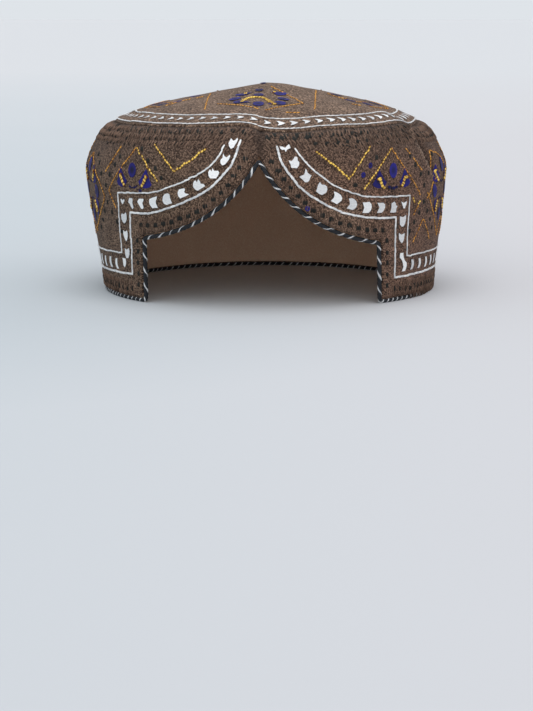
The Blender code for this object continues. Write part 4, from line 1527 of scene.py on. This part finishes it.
black_strands = strand_mesh("edge_cord_black", (0.25, 0.5, 0.75), BLACK_RADIUS, np.ones(len(route)))
white_strand = strand_mesh("edge_cord_white", (0.0,), WHITE_RADIUS, white_fullness)

# %% [markdown]
# Thread has a soft shine along its fibres. One node group draws the fibres, and makes one stitch
# lighter than the next by the random number that each copy carries. Every thread finish uses it
# with its own colours.

# %% Node group: spun thread
def make_spun_thread():
    """Colour, roughness and height of spun thread."""
    tree, given, result = new_group("spun_thread", {
        "Place": ("NodeSocketVector", None),
        "Fibre Scale": ("NodeSocketFloat", 1.0),
        "Lift": ("NodeSocketFloat", 0.0),
        "Variety": ("NodeSocketFloat", 0.5),
        "Light": ("NodeSocketColor", (0.8, 0.8, 0.8, 1.0)),
        "Dark": ("NodeSocketColor", (0.5, 0.5, 0.5, 1.0)),
    }, {"Colour": "NodeSocketColor", "Roughness": "NodeSocketFloat", "Height": "NodeSocketFloat"})
    fine = add_node(tree, "ShaderNodeTexNoise", {"Vector": given.outputs["Place"],
                                                 "Scale": given.outputs["Fibre Scale"],
                                                 "Detail": 3.0, "Roughness": 0.6})
    tone = add_node(tree, "ShaderNodeAttribute", attribute_name="tone")
    mixed = add_node(tree, "ShaderNodeMath", {0: tone.outputs["Fac"],
                                              1: given.outputs["Variety"],
                                              2: spread(tree, fine.outputs["Fac"], 0.3, 0.7,
                                                        0.0, 0.5)},
                     operation="MULTIPLY_ADD").outputs[0]
    mixed = calculate(tree, "ADD", mixed, given.outputs["Lift"], clamp=True)
    colour = blend_colour(tree, mixed, given.outputs["Dark"], given.outputs["Light"])
    tree.links.new(colour, result.inputs["Colour"])
    tree.links.new(spread(tree, fine.outputs["Fac"], 0.3, 0.7, 0.55, 0.8),
                   result.inputs["Roughness"])
    tree.links.new(fine.outputs["Fac"], result.inputs["Height"])
    return tree


spun_thread = make_spun_thread()


# %% [markdown]
# The finishes differ in their two colours, in how far the fibres are stretched and in how the tone
# changes from a stitch's middle to its rim. Gold chain loops carry a painted highlight in their
# middle and painted shade at both ends, so a row of them reads as beads, and they are partly metal.
# Navy petals are darkest in the middle.

# %% Thread finishes
def thread_material(name, light, dark, metallic=0.0, shine=0.3, stretch=(0.5, 5.0, 1.0),
                    middle=(0.0, 1.0, 0.0, 0.0), variety=0.5):
    """Spun thread in one colour; its fibres follow the stitch's own drawing.

    middle: two distances from the stitch's middle in mm, and how much lighter it is at each;
    variety: how much one stitch differs from the next.
    """
    material, tree, shader = new_material(name)
    drawing = add_node(tree, "ShaderNodeUVMap", uv_map="pattern")
    place = add_node(tree, "ShaderNodeMapping", {"Vector": drawing.outputs[0], "Scale": stretch})
    thread = add_node(tree, "ShaderNodeGroup", node_tree=spun_thread)
    tree.links.new(place.outputs[0], thread.inputs["Place"])
    thread.inputs["Fibre Scale"].default_value = 1.6
    reach = add_node(tree, "ShaderNodeVectorMath", {0: drawing.outputs[0]}, operation="LENGTH")
    tree.links.new(spread(tree, reach.outputs["Value"], *middle), thread.inputs["Lift"])
    thread.inputs["Variety"].default_value = variety
    thread.inputs["Light"].default_value = light
    thread.inputs["Dark"].default_value = dark
    bump = add_node(tree, "ShaderNodeBump", {"Height": thread.outputs["Height"],
                                             "Strength": 0.6, "Distance": 0.12 * MM})
    tree.links.new(thread.outputs["Colour"], shader.inputs["Base Color"])
    tree.links.new(thread.outputs["Roughness"], shader.inputs["Roughness"])
    tree.links.new(bump.outputs[0], shader.inputs["Normal"])
    shader.inputs["Metallic"].default_value = metallic
    shader.inputs["Specular IOR Level"].default_value = shine
    return material


white_thread = thread_material("white_thread", srgb(244, 245, 245), srgb(164, 167, 172),
                               stretch=(0.4, 1.4, 1.0), middle=(0.0, 1.0, 0.2, 0.2))
navy_thread = thread_material("navy_thread", srgb(34, 31, 120), srgb(12, 12, 44), shine=0.25,
                              middle=(0.8, 2.4, -0.4, 0.25))
dark_thread = thread_material("dark_thread", srgb(38, 38, 34), srgb(10, 13, 12))
# Both golds carry a painted highlight in each loop's middle and painted shade at both its ends.
gold_thread = thread_material("gold_thread", srgb(255, 220, 112), srgb(112, 60, 20), metallic=0.35,
                              middle=(0.3, 0.85, 0.4, -0.8), variety=0.8,
                              stretch=(2.5, 8.0, 1.0))
worn_gold = thread_material("worn_gold", srgb(244, 182, 84), srgb(116, 64, 30), metallic=0.2,
                            middle=(0.3, 0.85, 0.25, -0.8), variety=0.9,
                            stretch=(2.5, 8.0, 1.0))
black_cotton = thread_material("black_cotton", srgb(62, 66, 74), srgb(12, 14, 18),
                               stretch=(0.6, 1.5, 1.0))
brown_thread = thread_material("brown_thread", srgb(136, 110, 94), srgb(46, 34, 28), shine=0.15,
                               variety=0.6)

# %% [markdown]
# Last, every mesh of stitches becomes a piece. The embroidery lies on the cloths, so it replaces no
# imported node. The cord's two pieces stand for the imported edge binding.

# %% The embroidered pieces
finish_piece("shoulder_stitches", hatch_mesh, brown_thread)
finish_piece("border_lines", border_line_mesh, white_thread)
finish_piece("crown_ring_lines", ring_line_mesh, white_thread)
finish_piece("white_leaves", white_mesh, white_thread)
finish_piece("navy_petals", petal_mesh, navy_thread)
finish_piece("gold_threads", gold_mesh, gold_thread)
finish_piece("worn_gold_threads", worn_gold_mesh, worn_gold)
finish_piece("dark_knots", knot_mesh, dark_thread)
finish_piece("edge_cord_black", black_strands, black_cotton, "edge_binding")
finish_piece("edge_cord_white", white_strand, white_thread, "edge_binding")


# %% [markdown]
# The studio: a very large pale floor, a world of nearly the same colour, and four broad suns, a cool
# one on the left, a warm one on the right, one in front and one overhead. A sun lights the whole
# floor evenly. A painted shadow, a darker, cooler pool, lies on the floor to the left, and far off
# the floor lightens to the colour of the world, so that the two meet without an edge.

# %% Floor, world and lights
FLOOR_LEFT = srgb(192, 200, 205)
FLOOR_RIGHT = srgb(206, 204, 207)
FLOOR_MOTTLE = srgb(212, 215, 219)
# Painted shadow: the darker, cooler pool on the floor to the left.
FLOOR_SHADE_POOL = srgb(178, 188, 194)
FLOOR_FAR = srgb(211, 213, 216)
POOL_MIDDLE = (-0.2, -0.12, 0.0)
POOL_RADIUS = 0.28


def make_floor():
    """A pale floor that reaches far past the view."""
    bm = bmesh.new()
    bmesh.ops.create_grid(bm, x_segments=2, y_segments=2, size=30.0)
    mesh = bpy.data.meshes.new("floor")
    bm.to_mesh(mesh)
    bm.free()
    material, tree, shader = new_material("studio_floor")
    place = add_node(tree, "ShaderNodeTexCoord").outputs["Object"]
    mottle = add_node(tree, "ShaderNodeTexNoise", {"Vector": place, "Scale": 1.5, "Detail": 2.0})
    across, back = add_node(tree, "ShaderNodeSeparateXYZ", {0: place}).outputs[:2]
    plain = blend_colour(tree, spread(tree, across, -0.18, 0.18), FLOOR_LEFT, FLOOR_RIGHT)
    light = calculate(tree, "MULTIPLY", mottle.outputs["Fac"], 0.4)
    colour = blend_colour(tree, light, plain, FLOOR_MOTTLE)
    # Painted shadow pool to the left of the cap.
    away = add_node(tree, "ShaderNodeVectorMath", {0: place, 1: POOL_MIDDLE}, operation="DISTANCE")
    shade_pool = spread(tree, away.outputs["Value"], 0.0, POOL_RADIUS, 0.6, 0.0)
    colour = blend_colour(tree, shade_pool, colour, FLOOR_SHADE_POOL)
    colour = blend_colour(tree, spread(tree, back, 0.3, 4.0), colour, FLOOR_FAR)
    tree.links.new(colour, shader.inputs["Base Color"])
    shader.inputs["Roughness"].default_value = 0.9
    shader.inputs["Specular IOR Level"].default_value = 0.1
    mesh.materials.append(material)
    floor = bpy.data.objects.new("floor", mesh)
    bpy.context.scene.collection.objects.link(floor)


def make_world(horizon, zenith, strength, side_dark):
    """A pale sky that is brighter overhead and dimmer to the left and right."""
    world = bpy.data.worlds.new("studio")
    world.use_nodes = True
    tree = world.node_tree
    direction = add_node(tree, "ShaderNodeTexCoord").outputs["Generated"]
    parts = add_node(tree, "ShaderNodeSeparateXYZ", {0: direction})
    climb = spread(tree, parts.outputs[2], 0.0, 0.9)
    aside = spread(tree, calculate(tree, "ABSOLUTE", parts.outputs[0]), 0.35, 1.0, 0.0, side_dark)
    sky = tree.nodes["Background"]
    clear = blend_colour(tree, climb, horizon, zenith)
    tree.links.new(blend_colour(tree, aside, clear, (0.0, 0.0, 0.0, 1.0)), sky.inputs["Color"])
    sky.inputs["Strength"].default_value = strength
    bpy.context.scene.world = world


def make_sun(name, from_top, from_front, strength, colour):
    """Broad soft light from one direction, in degrees from straight above and from the front."""
    data = bpy.data.lights.new(name, "SUN")
    data.energy = strength
    data.color = colour
    data.angle = math.radians(50.0)
    light = bpy.data.objects.new(name, data)
    light.rotation_euler = (math.radians(from_top), 0.0, math.radians(from_front))
    bpy.context.scene.collection.objects.link(light)


make_floor()
make_world(srgb(223, 228, 233), srgb(240, 243, 247), 1.0, 0.55)
make_sun("left_window", 62.0, -50.0, 0.24, (0.94, 1.0, 0.96))
make_sun("right_window", 60.0, 52.0, 0.36, (1.0, 0.88, 0.82))
make_sun("front_panel", 58.0, 0.0, 0.42, (1.0, 1.0, 1.0))
make_sun("top_panel", 12.0, 0.0, 0.75, (1.0, 1.0, 1.0))
bpy.context.scene.view_settings.view_transform = "Standard"
